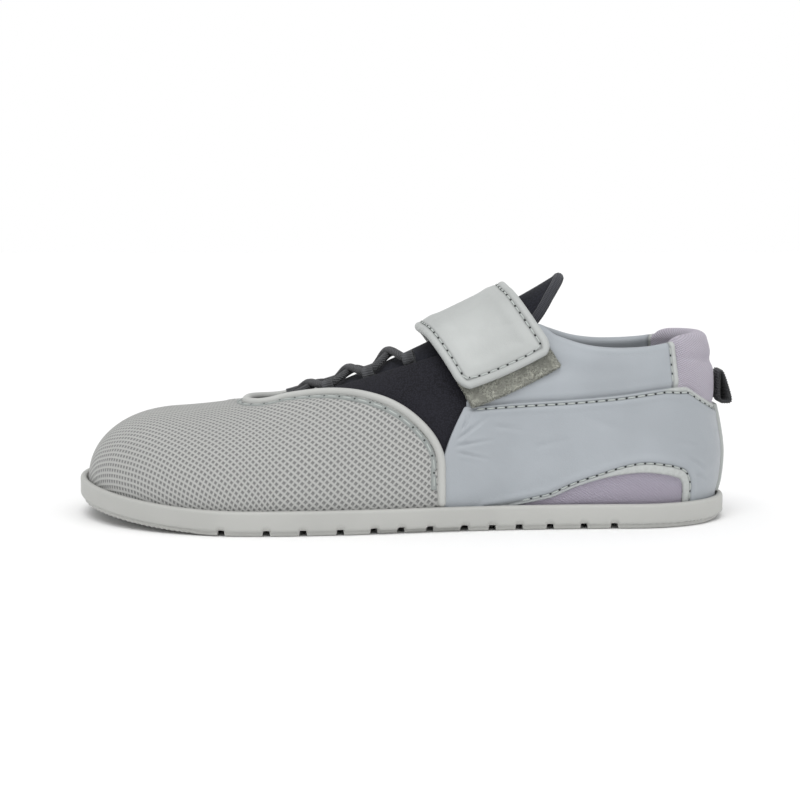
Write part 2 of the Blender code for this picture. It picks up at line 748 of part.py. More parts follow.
def lace_line(sign):
    """One of the two zigzags that cross each other over the tongue."""
    stops = np.linspace(lace_start, lace_end, lace_rows + 1) * sole_length
    points = []
    for i, (first, second) in enumerate(zip(stops[:-1], stops[1:])):
        begin = sign * (1 if i % 2 == 0 else -1)
        for t in np.linspace(0, 1, 8)[:-1]:
            points.append((first + (second - first) * t, begin * math.cos(math.pi * t)))
    points.append((stops[-1], sign * (1 if lace_rows % 2 == 0 else -1)))
    x, sway = np.array(points).T
    half = throat_curve(x / sole_length) * throat_half_gap - lace_radius - 3 * gap
    girth = half * sway
    path, normals = stand_off(across, x, -girth, -wall + lace_radius + gap)
    return path, normals


def build_lace(material):
    section = [(lace_radius * math.cos(t), lace_radius * math.sin(t))
               for t in np.linspace(0, 2 * math.pi, 8)[:-1]]
    first = swept("elastic_lace", material, *lace_line(1), section)
    second = swept("lace_cutter", material, *lace_line(-1), section)
    second.hide_render = True
    second.display_type = "WIRE"
    join = first.modifiers.new("join", "BOOLEAN")
    join.operation, join.solver, join.object = "UNION", "EXACT", second
    return first


def build_insole(material):
    places = round_places()[:-1]
    spine = round_rays(places, 0 * places)[0][:, :2]
    shares = np.array([0, 0.65, 1])
    rows = []
    for height, order in ((0, shares), (insole_thickness, shares[::-1])):
        edge = base_outline(places, -wall - 2 * gap, height)
        for share in order:
            flat = spine + (edge - spine) * share
            z = spring(flat[:, 0]) + sole_floor + gap + height
            rows.append(np.column_stack([flat, z]))
    return make("insole", material, *loft(rows))


def loft(rows):
    """Points and faces through closed rows of points, open at both ends."""
    count = len(rows[0])
    faces = []
    for i in range(len(rows) - 1):
        for j in range(count):
            n = (j + 1) % count
            faces.append([i * count + j, i * count + n,
                          (i + 1) * count + n, (i + 1) * count + j])
    return np.concatenate(rows), faces


def sole_columns(outline, dense, sign):
    """One side's columns from heel to toe: place, spine's place and groove or not.

    Each side of a groove is two columns at one place, without and with the cut.
    """
    back, front = spine_back, sole_turn * sole_length
    cuts = [(back, 0), (front, 0)]
    for share in GROOVES:
        first = share * sole_length - groove_width / 2
        last = first + groove_width
        cuts += [(first, 0), (first, 1), (last, 1), (last, 0)]
    half = dense * sign >= 0
    places, line = np.abs(dense[half]), outline[half, 0]
    rank = np.argsort(places)
    places, line = places[rank], line[rank]
    heel_stop, toe_stop = np.interp([back, front], line, places)
    rows = [(p, back, 0) for p in np.linspace(0, heel_stop, 13)[:-1]]
    cuts = sorted(cuts[:1] + cuts[2:], key=lambda row: row[0]) + cuts[1:2]
    rows += [(float(np.interp(x, line, places)), x, cut) for x, cut in cuts]
    rows += [(p, front, 0) for p in np.linspace(toe_stop, half_round, 15)[1:]]
    return rows


def build_outsole(material):
    dense = np.linspace(-half_round, half_round, 801)
    outline = base_outline(dense, base_inset)
    lateral = sole_columns(outline, dense, 1)
    medial = sole_columns(outline, dense, -1)
    whole = lateral + [(-p, x, cut) for p, x, cut in medial[-2:0:-1]]
    places, spine_x, cut = np.array(whole, float).T
    spine = np.stack([spine_x, centre_line(spine_x)], 1)

    def ring(inset, level, share=1.0, tread=False):
        flat = base_outline(places, base_inset - inset)
        flat = spine + (flat - spine) * share
        if tread:
            level = np.where(cut > 0, groove_depth, level) + bevel(flat[:, 0])
        return np.column_stack([flat, level + spring(flat[:, 0])])

    side_low = tread_rise
    rows = [
        ring(tread_inset, 0.0, 0.0, True),
        ring(tread_inset, 0.0, 0.75, True),
        ring(tread_inset + tread_draft, 0.0, 1.0, True),
        ring(tread_inset, side_low, 1.0, True),
        ring(sole_round, side_low, 1.0, True),
        ring(0.0, side_low + sole_round),
        ring(0.0, sole_side - sole_round),
        ring(sole_round, sole_side),
        ring(sole_rim, sole_side),
        ring(sole_rim, sole_floor),
        ring(sole_rim, sole_floor, 0.65),
        ring(sole_rim, sole_floor, 0.0),
    ]
    return make("outsole", material, *loft(rows), smooth_angle=35)


def build_material(name):
    colour, roughness = MATERIALS[name]
    material = bpy.data.materials.new(name)
    material.use_nodes = True
    shader = material.node_tree.nodes["Principled BSDF"]
    shader.inputs["Base Color"].default_value = colour
    shader.inputs["Roughness"].default_value = roughness
    material.diffuse_color = colour
    return material


def build():
    for item in list(bpy.data.objects):
        bpy.data.objects.remove(item, do_unlink=True)
    materials = {name: build_material(name) for name in MATERIALS}
    build_outsole(materials["rubber"])
    build_insole(materials["dark_textile"])
    build_upper(materials["dark_textile"])
    build_tongue(materials["dark_textile"])
    build_vamp(materials["vamp_textile"])
    build_quarter(materials["leather"])
    build_window(materials["lilac_textile"])
    build_collar_front(materials["leather"], 1, "collar_front_lateral")
    build_collar_front(materials["leather"], -1, "collar_front_medial")
    build_collar_roll(materials["lilac_textile"])
    build_heel_tape(materials["strap_leather"])
    build_pull_loop(materials["dark_webbing"])
    build_binding(materials["binding"])
    build_strap(materials["strap_leather"])
    build_pad(materials["loop_pile"])
    build_lace(materials["dark_webbing"])


build()
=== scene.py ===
import math
from collections import namedtuple

import bmesh
import bpy
import numpy as np
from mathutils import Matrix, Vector


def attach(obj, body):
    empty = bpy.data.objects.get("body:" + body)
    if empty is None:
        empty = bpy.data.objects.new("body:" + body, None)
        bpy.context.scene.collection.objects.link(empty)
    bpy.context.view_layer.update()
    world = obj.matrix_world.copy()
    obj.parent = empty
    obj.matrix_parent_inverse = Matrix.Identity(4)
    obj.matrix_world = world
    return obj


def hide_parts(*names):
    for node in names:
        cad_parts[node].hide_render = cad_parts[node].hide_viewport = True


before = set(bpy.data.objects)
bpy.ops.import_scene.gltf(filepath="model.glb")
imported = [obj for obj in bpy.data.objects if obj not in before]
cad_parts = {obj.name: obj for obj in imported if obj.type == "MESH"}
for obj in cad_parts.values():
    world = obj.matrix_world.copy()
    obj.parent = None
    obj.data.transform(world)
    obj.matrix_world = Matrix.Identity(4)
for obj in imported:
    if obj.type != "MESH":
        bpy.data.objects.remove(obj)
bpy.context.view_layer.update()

# The last and the part's own sizes, in metres, with x from the heel's end
sole_length, ball_width = 0.200, 0.0815
sole_side, sole_floor, sole_rim, sole_round = 0.0074, 0.0042, 0.0019, 0.0010
tread_rise, tread_inset, tread_flush = 0.0013, 0.0021, 0.0010
toe_spring, heel_bevel, toe_swing = 0.0050, 0.0014, 0.0090
groove_width, groove_depth = 0.0022, 0.0017
instep_height, heel_height, wall = 0.0625, 0.0500, 0.0016
heel_swell, toe_swell, swell_height = 0.0016, 0.0006, 0.0120
throat_half_gap, throat_front = 0.0150, 0.0100
leather, window_height, seam_place = 0.0012, 0.0093, 0.0880
binding_width, binding_height = 0.0024, 0.0023
collar_puff, heel_tape_width, heel_tape = 0.0028, 0.0080, 0.0007
insole_thickness, tongue_thickness = 0.0026, 0.0030
strap_width, strap_thickness, strap_place = 0.0280, 0.0026, 0.0800
strap_lean, strap_bend, strap_free, strap_fixed = 0.46, 0.0090, 0.0345, 0.0330
pad_thickness, pad_length, pad_show, pad_inset = 0.0014, 0.0180, 0.0048, 0.0010
lace_radius, lace_start, lace_end, lace_rows = 0.0012, 0.0975, 0.1340, 3
pull_width, pull_depth, pull_height, pull_band = 0.0110, 0.0054, 0.0104, 0.0010
pull_close, pull_rise, pull_square = 0.38, 0.0045, 0.5
pull_lean = 0.90            # how far its outer leg closes in on the medial side
gap = 0.0003
heel_turn, toe_turn, sole_turn = 0.0300, 0.1360, 0.1600
heel_arc, toe_arc, heel_centre = 0.0455, 0.0830, 0.0300

# Share along the last, half widths outward and inward, ridge height and squareness
STATIONS = [
    (0.000, 0.715, 0.700, 1.400, 2.30),
    (0.150, 0.715, 0.700, 1.330, 2.30),
    (0.250, 0.740, 0.695, 1.150, 2.20),
    (0.350, 0.790, 0.670, 0.985, 2.05),
    (0.450, 0.875, 0.685, 0.835, 2.00),
    (0.550, 0.990, 0.755, 0.690, 2.05),
    (0.650, 1.100, 0.820, 0.565, 2.15),
    (0.725, 1.160, 0.830, 0.490, 2.25),
    (0.800, 1.180, 0.815, 0.445, 2.35),
    (0.880, 1.180, 0.810, 0.405, 2.40),
    (1.000, 1.180, 0.810, 0.355, 2.40),
]
HEEL_ROUND, LATERAL_TOE = (0.855, 2.05), (0.730, 2.2)
MEDIAL_TOE, RIDGE_TOE = (0.800, 2.4), (0.860, 2.3)
HEEL_LINE = [(0.00, 0.000), (0.06, 0.000), (0.15, -0.018), (0.30, -0.030),
             (0.50, -0.004), (0.75, 0.060), (1.00, 0.110), (1.80, 0.190)]
heel_line_fade = 0.35
COLLAR = [(0.00, 1.000), (0.06, 0.985), (0.12, 0.955), (0.175, 0.945),
          (0.225, 0.965), (0.265, 1.015), (0.295, 1.060), (0.34, 1.080)]
collar_ends, throat_begins = 0.265, 0.315
THROAT = [(0.26, 1.20), (0.32, 1.12), (0.40, 1.05), (0.50, 1.00), (0.60, 0.94),
          (0.68, 0.84)]
QUARTER_TOP = [(0.00, 0.590), (0.02, 0.610), (0.045, 0.680), (0.070, 0.742),
               (0.120, 0.730), (0.180, 0.700), (0.240, 0.678), (0.310, 0.660),
               (0.380, 0.640), (0.420, 0.630)]
# The window runs on as a sliver along the sole, as in the photo
WINDOW_TOP = [(0.079, 0.10), (0.080, 0.36), (0.084, 0.70), (0.093, 0.83),
              (0.115, 0.95), (0.139, 1.00), (0.170, 0.94), (0.205, 0.79),
              (0.240, 0.56), (0.262, 0.36), (0.275, 0.24), (0.295, 0.14),
              (0.320, 0.03)]
collar_back = 0.078
QUARTER_FRONT = [(0.300, 1.050), (0.325, 1.010), (0.345, 0.950), (0.360, 0.880),
                 (0.375, 0.800), (0.390, 0.710), (0.405, 0.620), (0.420, 0.510),
                 (0.430, 0.420), (0.436, 0.350)]
BINDING = [(0.440, 0.082), (0.440, 0.140), (0.440, 0.210), (0.440, 0.280),
           (0.4415, 0.340), (0.447, 0.405), (0.457, 0.475), (0.472, 0.550),
           (0.492, 0.630), (0.518, 0.710), (0.550, 0.785), (0.580, 0.845),
           (0.610, 0.895), (0.640, 0.935)]
GROOVES = sole_length * np.array([0.1815, 0.2265, 0.277, 0.323, 0.363, 0.4035, 0.454,
                                  0.4965, 0.5365, 0.586, 0.640, 0.6935, 0.7605])

SIDES = (("lateral", 1), ("medial", -1))
base_inset = sole_rim + 1.5 * gap + leather + gap
cup_depth = sole_side - sole_floor - gap
side_start, side_end = heel_arc, heel_arc + toe_turn - heel_turn
half_round = side_end + toe_arc

# Seams: threads and how far apart they start, their holes (dark beads of painted shade), their
# grooves and the shade painted in them, the rims beside them
stitch_pitch, stitch_long, stitch_thick = 0.0030, 0.0023, 0.00050
hole_size, seam_sink, seam_wide, rim_fade = 0.00062, 0.00034, 0.00042, 0.0003
back_rim, front_rim = 0.0019, 0.0012
window_rim_back, window_rim_front = 0.0029, 0.0013
collar_rim, strap_rim = 0.0029, 0.0024
strip_width, strip_height = 0.0019, 0.00028
STRIP_STITCH = {"pitch": 0.0050, "long": 0.0039, "thick": 0.00052, "hole": 0.0009}
# The heel strip's threads are dark grey thread whose darkness also paints the shade of the gaps at
# the strip's edges
HEEL_STITCH = {"kind": "thread_painted_gap_shade", "pitch": 0.0042, "long": 0.0031, "thick": 0.0004}
seam_level = gap + leather - 0.00010
lattice_pitch = 0.21        # of the vamp's weave, in centimetres

# Panels round off over this much at their edges and reach this far under their neighbours
edge_round, tuck = 0.0006, 0.0012

# Fine ribs under the sole: straight ones ahead of a line, zigzag ones behind another
toe_rib, heel_rib, zigzag_pitch, zigzag_reach = 0.0016, 0.00175, 0.008, 0.005
toe_ribs_start, heel_ribs_end = 0.130, 0.008

# Lugs that stand proud of the rest, the scoop over each groove and the toe ribs' depth
proud_start, proud_end, proud_fade = 0.078, 0.110, 0.004
scoop_depth, rib_depth = 0.0013, 0.00028

# Soft troughs and ridges in the leather: two ends as place and length, depth, width
CREASES = [
    ((0.0985, 0.0225), (0.0895, 0.0290), 0.00055, 0.0011),
    ((0.0990, 0.0205), (0.0880, 0.0222), 0.00050, 0.0010),
    ((0.0985, 0.0185), (0.0895, 0.0165), 0.00042, 0.0009),
    ((0.0975, 0.0245), (0.0935, 0.0325), 0.00042, 0.0009),
    ((0.0880, 0.0262), (0.0790, 0.0250), 0.00030, 0.0014),
    ((0.0760, 0.0200), (0.0640, 0.0225), 0.00022, 0.0018),
    ((0.0200, 0.0120), (0.0300, 0.0172), 0.00030, 0.0011),
    ((0.0195, 0.0092), (0.0275, 0.0118), 0.00026, 0.0010),
    ((0.0240, 0.0195), (0.0340, 0.0210), 0.00018, 0.0014),
    ((0.0500, 0.0250), (0.0620, 0.0290), 0.00016, 0.0022),
    ((-0.0980, 0.0225), (-0.0895, 0.0290), 0.00050, 0.0011),
    ((-0.0985, 0.0200), (-0.0885, 0.0212), 0.00045, 0.0010),
    ((-0.0760, 0.0190), (-0.0640, 0.0225), 0.00022, 0.0018),
    ((-0.0205, 0.0110), (-0.0300, 0.0150), 0.00026, 0.0011),
]


def curve(rows):
    x, y = (np.array(column, float) for column in zip(*rows))
    slope = np.diff(y) / np.diff(x)
    tangent = np.concatenate([slope[:1], (slope[1:] + slope[:-1]) / 2, slope[-1:]])
    tangent[1:-1] = np.where(slope[1:] * slope[:-1] > 0, tangent[1:-1], 0)
    limit = 3 * np.abs(slope)
    tangent[:-1] = np.clip(tangent[:-1], -limit, limit)
    tangent[1:] = np.clip(tangent[1:], -limit, limit)

    def value(at):
        at = np.clip(np.asarray(at, float), x[0], x[-1])
        i = np.clip(np.searchsorted(x, at) - 1, 0, len(slope) - 1)
        width = x[i + 1] - x[i]
        t = (at - x[i]) / width
        rise = (3 - 2 * t) * t * t
        return (y[i] + (y[i + 1] - y[i]) * rise
                + tangent[i] * width * t * (1 - t) ** 2
                - tangent[i + 1] * width * t * t * (1 - t))

    return value


def smooth_step(t):
    t = np.clip(t, 0, 1)
    return t * t * (3 - 2 * t)


def blend(first, second, t):
    return first + (second - first) * smooth_step(t)


lateral_curve, medial_curve, ridge_curve, square_curve = (
    curve([(row[0], row[k]) for row in STATIONS]) for k in (1, 2, 3, 4))
heel_line = curve(HEEL_LINE)
collar_curve = curve(COLLAR)
throat_curve = curve(THROAT)
quarter_top_curve = curve(QUARTER_TOP)
quarter_front_curve = curve(QUARTER_FRONT)
window_curve = curve(WINDOW_TOP)


def round_end(t, start, power):
    u = np.clip((t - start) / (1 - start), 0, 1)
    return (1 - u ** power) ** (1 / power)


def centre_line(x):
    return -toe_swing * smooth_step((x / sole_length - 0.45) / 0.55)


def spring(x):
    return toe_spring * np.clip((x / sole_length - 0.72) / 0.28, 0, 1) ** 2


def bevel(x):
    return heel_bevel * np.clip(1 - x / (0.05 * sole_length), 0, 1) ** 2


def outside(x, y, z):
    back = heel_line(z / heel_height) * heel_height
    x = x - back * (1 - smooth_step(x / (heel_line_fade * sole_length)))
    t = (x - base_inset) / (sole_length - 2 * base_inset)
    beyond = (t <= 0) | (t >= 1)
    t = np.clip(t, 1e-6, 1 - 1e-6)
    side = y - centre_line(x)
    share = np.where(side > 0, lateral_curve(t), medial_curve(t))
    toe = np.where(side > 0, round_end(t, *LATERAL_TOE), round_end(t, *MEDIAL_TOE))
    wide = (share * ball_width / 2 - base_inset) * toe * round_end(1 - t, *HEEL_ROUND)
    rise = np.clip(z - cup_depth, 0, None) / swell_height
    most = toe_swell + (heel_swell - toe_swell) * (1 - smooth_step((t - 0.3) / 0.3))
    wide = wide * (1 + most * rise * np.exp(1 - rise) / (0.4 * ball_width))
    high = ridge_curve(t) * instep_height * round_end(t, *RIDGE_TOE)
    square = square_curve(t)
    found = ((np.abs(side) / np.maximum(wide, 1e-6)) ** square
             + (np.maximum(z, 0) / np.maximum(high, 1e-6)) ** square - 1)
    return np.where(beyond, 9.0, found)


def round_rays(place, angle):
    place = (place + half_round) % (2 * half_round) - half_round
    side = np.where(place >= 0, 1.0, -1.0)
    along = np.abs(place)
    x = np.clip(along - side_start, 0, toe_turn - heel_turn) + heel_turn
    behind = np.clip(1 - along / heel_arc, 0, 1) * math.pi / 2
    ahead = np.clip((along - side_end) / toe_arc, 0, 1)
    tip = math.atan2(centre_line(sole_length) - centre_line(toe_turn),
                     sole_length - toe_turn)
    turn = math.pi / 2 + behind + ahead * (side * tip - math.pi / 2)
    flat = np.cos(angle)
    way = np.stack([np.cos(turn) * flat, side * np.sin(turn) * flat, np.sin(angle)], 1)
    return np.stack([x, centre_line(x), 0 * x], 1), way


def cross_rays(x, angle):
    way = np.stack([0 * x, np.cos(angle), np.sin(angle)], 1)
    return np.stack([x, centre_line(x), 0 * x], 1), way


def reach_of(start, way, near, far, steps):
    for _ in range(steps):
        middle = (near + far) / 2
        out = outside(*(start + way * middle[:, None]).T) > 0
        far = np.where(out, middle, far)
        near = np.where(out, near, middle)
    return near


Chart = namedtuple("Chart", "rays places angles reach run high out")
ray_limit, guess_slack = 0.12, 0.0015
halvings, halvings_near = 26, 11


def chart(rays, places, angles, zero):
    place, angle = np.meshgrid(places, angles, indexing="ij")
    start, way = rays(place.ravel(), angle.ravel())
    reach = reach_of(start, way, 0 * start[:, 0], ray_limit + 0 * start[:, 0], halvings)
    points = (start + way * reach[:, None]).reshape(place.shape + (3,))
    start = start.reshape(points.shape)
    steps = np.linalg.norm(np.diff(points, axis=1), axis=2)
    run = np.concatenate([0 * place[:, :1], np.cumsum(steps, axis=1)], axis=1)
    run = run - run[:, [zero]]
    out = np.linalg.norm((points - start)[..., :2], axis=2)
    return Chart(rays, places, angles, reach.reshape(place.shape), run,
                 points[..., 2], out)


around = chart(round_rays, np.linspace(-half_round, half_round, 451),
               np.radians(np.linspace(0, 89, 90)), 0)
across = chart(cross_rays, np.linspace(0.16, 0.82, 101) * sole_length,
               np.radians(np.linspace(2, 178, 133)), 66)


def skin(skin_chart, place, angle):
    """Where the rays meet the skin: a guess from the chart, then halving round it."""
    start, way = skin_chart.rays(place, angle)
    places, angles = skin_chart.places, skin_chart.angles
    if skin_chart is around:
        place = (place + half_round) % (2 * half_round) - half_round
    i = np.clip(np.searchsorted(places, place) - 1, 0, len(places) - 2)
    j = np.clip(np.searchsorted(angles, angle) - 1, 0, len(angles) - 2)
    u = (place - places[i]) / (places[i + 1] - places[i])
    v = (angle - angles[j]) / (angles[j + 1] - angles[j])
    r = skin_chart.reach
    guess = ((r[i, j] * (1 - v) + r[i, j + 1] * v) * (1 - u)
             + (r[i + 1, j] * (1 - v) + r[i + 1, j + 1] * v) * u)
    near, far = np.maximum(guess - guess_slack, 0), guess + guess_slack
    bad = ((outside(*(start + way * near[:, None]).T) > 0)
           | (outside(*(start + way * far[:, None]).T) <= 0))
    near, far = np.where(bad, 0, near), np.where(bad, ray_limit, far)
    found = reach_of(start, way, near, far, halvings_near)
    if bad.any():
        found[bad] = reach_of(start[bad], way[bad], near[bad], far[bad], halvings)
    return start + way * found[:, None], way


def rows_at(skin_chart, rows, place):
    i = np.clip(np.searchsorted(skin_chart.places, place) - 1, 0, len(rows) - 2)
    first, second = skin_chart.places[i], skin_chart.places[i + 1]
    share = ((place - first) / (second - first))[:, None]
    return rows[i] * (1 - share) + rows[i + 1] * share


def meet(wanted, row, result):
    k = np.clip((row < wanted[:, None]).sum(1), 1, row.shape[1] - 1)
    n = np.arange(len(row))
    low, high = row[n, k - 1], row[n, k]
    share = np.clip((wanted - low) / (high - low), 0, 1)
    result = np.broadcast_to(result, row.shape)
    return result[n, k - 1] * (1 - share) + result[n, k] * share


def unit(vectors):
    return vectors / np.linalg.norm(vectors, axis=1)[:, None]


def stand_off(skin_chart, place, length, offset):
    """Points at lengths along the skin, raised by offset, in the row's frame."""
    place, length, offset = np.broadcast_arrays(place, length, offset)
    shape = place.shape + (3,)
    place, length, offset = (np.ravel(v).astype(float) for v in (place, length, offset))
    angle = meet(length, rows_at(skin_chart, skin_chart.run, place), skin_chart.angles)
    points, way = skin(skin_chart, place, angle)
    reach, tilt = 0.0004, 0.005
    along = (skin(skin_chart, place + reach, angle)[0]
             - skin(skin_chart, place - reach, angle)[0])
    up = (skin(skin_chart, place, angle + tilt)[0]
          - skin(skin_chart, place, angle - tilt)[0])
    normal = unit(np.cross(along, up))
    normal *= np.sign((normal * way).sum(1))[:, None]
    points = points + normal * offset[:, None]
    points[:, 2] += spring(points[:, 0]) + sole_floor + gap
    points[:, 0] -= heel_centre
    return points.reshape(shape), normal.reshape(shape)


def place_at(x):
    x = np.asarray(x, float)
    back = np.arccos(np.clip((heel_turn - x) / (heel_turn - base_inset), 0, 1))
    return np.where(x < heel_turn, back * heel_arc * 2 / math.pi,
                    x - heel_turn + heel_arc)


def place_of(share):
    return float(place_at(share * sole_length))


def share_at(place):
    place = np.abs(place)
    back = heel_turn - (heel_turn - base_inset) * np.cos(
        np.minimum(place, heel_arc) / heel_arc * math.pi / 2)
    return np.where(place < heel_arc, back, place - heel_arc + heel_turn) / sole_length


def length_at_height(place, height):
    high = rows_at(around, around.high, place)
    return meet(np.broadcast_to(height, place.shape), high,
                rows_at(around, around.run, place))


def edge_length(place):
    share = share_at(place)
    collar = length_at_height(place, collar_curve(share) * heel_height)
    half = blend(throat_curve(share) * throat_half_gap, throat_front,
                 (np.abs(place) - side_end) / toe_arc)
    throat = meet(-half, -rows_at(around, around.out, place),
                  rows_at(around, around.run, place))
    return blend(collar, throat, (share - collar_ends) / (throat_begins - collar_ends))


def seam_length(place):
    return length_at_height(place, quarter_top_curve(share_at(place)) * heel_height)


def quarter_front(place):
    return edge_length(place) * np.minimum(quarter_front_curve(share_at(place)), 1)


def binding_side(side, fine=1):
    table = np.array(BINDING)
    t = np.linspace(0, len(table) - 1, (len(table) - 1) * fine + 1)
    rows = np.arange(len(table))
    x, share = (curve(list(zip(rows, table[:, k])))(t) for k in (0, 1))
    place = side * np.concatenate([
        place_at(x * sole_length), np.linspace(side_end - 0.002, half_round, 9 * fine + 1)])
    edge = edge_length(place)
    length = edge - binding_width / 2 - gap
    length[:len(x)] = edge[:len(x)] * share
    return place, length


def vamp_edge(place):
    edges = []
    for side in (1, -1):
        path_place, path_length = binding_side(side)
        path_place = np.abs(path_place[3:]) + 1e-6 * np.arange(len(path_place) - 3)
        rise = np.clip(np.gradient(path_length[3:], path_place), 0, 6)
        under = path_length[3:] - (binding_width / 2 + gap) * np.sqrt(1 + rise ** 2)
        edges.append(np.interp(np.abs(place), path_place, under))
    return np.where(place >= 0, edges[0], edges[1])


# Mesh helpers


def placed(name, data):
    item = bpy.data.objects.new(name, data)
    bpy.context.scene.collection.objects.link(item)
    return item


def add(name, points, faces, material, slot, nodes=(), uv=None, tone=None):
    """One piece. uv is its cloth in centimetres, tone its paleness and shadow, 0 to 1."""
    mesh = bpy.data.meshes.new(name)
    mesh.from_pydata([tuple(p) for p in np.reshape(points, (-1, 3))], [], faces)
    index = np.empty(len(mesh.loops), int)
    mesh.loops.foreach_get("vertex_index", index)
    if tone is not None:
        tone = np.stack([np.ravel(t) for t in tone], 1)
    for layer_name, pairs in (("cloth", uv), ("tone", tone)):
        if pairs is not None:
            pairs = np.reshape(pairs, (-1, 2))[index].astype(np.float32)
            mesh.uv_layers.new(name=layer_name).data.foreach_set("uv", pairs.ravel())
    mesh.polygons.foreach_set("use_smooth", [True] * len(mesh.polygons))
    mesh.update()
    mesh.materials.append(material)
    item = placed(name, mesh)
    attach(item, "root")
    if nodes:
        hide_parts(*nodes)
    return item


def grid_faces(columns, rows, closed=False, ring=False):
    """Quads between a grid's points, which may be closed round either direction."""
    faces = []
    for i in range(columns if closed else columns - 1):
        n = (i + 1) % columns
        for j in range(rows if ring else rows - 1):
            m = (j + 1) % rows
            faces.append((i * rows + j, n * rows + j, n * rows + m, i * rows + m))
    return faces


def ring_faces(rings, sides, capped=True):
    """Quads between closed rings of points, and a face over each end."""
    faces = [f[:1] + f[:0:-1] for f in grid_faces(rings, sides, ring=True)]
    if capped:
        faces += [tuple(range(sides))[::-1], tuple(range((rings - 1) * sides, rings * sides))]
    return faces


def facing(points, faces, normals):
    """Faces turned so that the middle one looks along its first point's normal."""
    middle = faces[len(faces) // 2]
    a, b, c = (points.reshape(-1, 3)[v] for v in middle[:3])
    if np.dot(np.cross(b - a, c - a), normals.reshape(-1, 3)[middle[0]]) < 0:
        return [tuple(reversed(f)) for f in faces]
    return faces


def axis(start, end, count, edge=0.0007):
    """Positions between two ends, close together at both."""
    fine = edge * np.array([0, 0.06, 0.22, 0.5, 1.0])
    middle = np.linspace(start + 1.6 * edge, end - 1.6 * edge, count)
    return np.concatenate([start + fine, middle, (end - fine)[::-1]])


def rounded(distance, radius):
    d = np.clip(distance / radius, 0, 1)
    return np.sqrt(np.maximum(0, 1 - (1 - d) ** 2))


def dent(distance, width):
    return np.exp(-(distance / width) ** 2)


def groove(away, swell, beyond, wide):
    """A seam's groove, where away is 0 at its stitches, and the swell beyond it."""
    return swell * dent(away - beyond, wide) - seam_sink * dent(away, seam_wide)


def paler(away):
    """Full on a seam's rim and fading at its groove, where away is 0."""
    return 1 - smooth_step(away / rim_fade)


def between(low, high, share):
    low = low + 0 * high
    return low[:, None] + (high - low)[:, None] * share


def running(path):
    steps = np.linalg.norm(np.diff(path, axis=0), axis=1)
    return np.concatenate([[0], np.cumsum(steps)])


def draped(place, length):
    """Cloth coordinates in centimetres of a textile laid over the last from above."""
    place = place.ravel()
    start, way = round_rays(place, 0 * place)
    ray = rows_at(around, around.run, place)[:, -1] - length.ravel()
    return (start + way * ray[:, None])[:, :2] * 100


def straight(a, b):
    return np.stack(np.broadcast_arrays(a * 100, b * 100), -1)


def sheet(name, place, length, offset, material, slot, nodes=(), uv=None, tone=None,
          closed=False):
    """A layer of the upper: columns at places round the sole, rows at lengths up the last."""
    place = np.broadcast_to(np.reshape(place, (len(length), -1)), length.shape)
    points, normals = stand_off(around, place, length, offset)
    faces = facing(points, grid_faces(*length.shape, closed), normals)
    if uv is None:
        uv = straight(place, length)
    return add(name, points, faces, material, slot, nodes, uv, tone)


def swept(name, path, normals, section, material, slot, nodes=()):
    """A section, (side, up) rows, swept along a path."""
    tangent = unit(np.gradient(path, axis=0))
    side = unit(np.cross(tangent, normals))
    up = np.cross(side, tangent)
    section = np.broadcast_to(section, (len(path),) + np.shape(section)[-2:])
    points = path[:, None] + side[:, None] * section[..., :1] + up[:, None] * section[..., 1:]
    count = section.shape[1]
    uv = straight(running(path)[:, None], np.linspace(0, 0.006, count)[None])
    return add(name, points, ring_faces(len(path), count), material, slot, nodes, uv)


def circle(side, up):
    turn = np.linspace(0, 2 * math.pi, 13)[:-1]
    return np.stack([side * np.cos(turn), up * np.sin(turn)], 1)


def line_distance(place, length, line):
    """Distance from each point to a polyline, in the skin's unrolled plane."""
    best = np.full(place.shape, 9.0)
    for (ax, ay), (bx, by) in zip(line[:-1], line[1:]):
        dx, dy = bx - ax, by - ay
        long = max(dx * dx + dy * dy, 1e-12)
        t = np.clip(((place - ax) * dx + (length - ay) * dy) / long, 0, 1)
        best = np.minimum(best, np.hypot(place - ax - t * dx, length - ay - t * dy))
    return best


def moved(line, distance):
    """A polyline moved to its left by distance in the unrolled plane."""
    line = np.asarray(line, float)
    way = np.gradient(line, axis=0)
    way /= np.maximum(np.linalg.norm(way, axis=1), 1e-9)[:, None]
    return line + np.stack([-way[:, 1], way[:, 0]], 1) * np.reshape(distance, (-1, 1))


# Threads, and the dark beads that paint the shade in their holes, are gathered seam by seam and
# become three pieces at the end
SEAMS = {"thread": [], "thread_painted_gap_shade": [], "hole": []}
BEAD = np.array([(-0.5, 0.35), (-0.42, 0.80), (-0.2, 1), (0.2, 1), (0.42, 0.80), (0.5, 0.35)])


def beads(kind, centres, along, normals, long, thick, flat=0.8):
    """Rounded bars lying along a surface, their ends a little sunk."""
    side = unit(np.cross(along, normals))
    up = np.cross(side, along)
    turn = np.linspace(0, 2 * math.pi, 7)[:-1]
    t, r = BEAD.T
    wide = (r[:, None] * np.cos(turn) * thick / 2)[None, :, :, None]
    high = (r[:, None] * np.sin(turn) * thick / 2 * flat
            - 0.3 * thick * (2 * t[:, None]) ** 2)[None, :, :, None]
    SEAMS[kind].append(centres[:, None, None] + along[:, None, None] * (t * long)[:, None, None]
                       + side[:, None, None] * wide + up[:, None, None] * high)


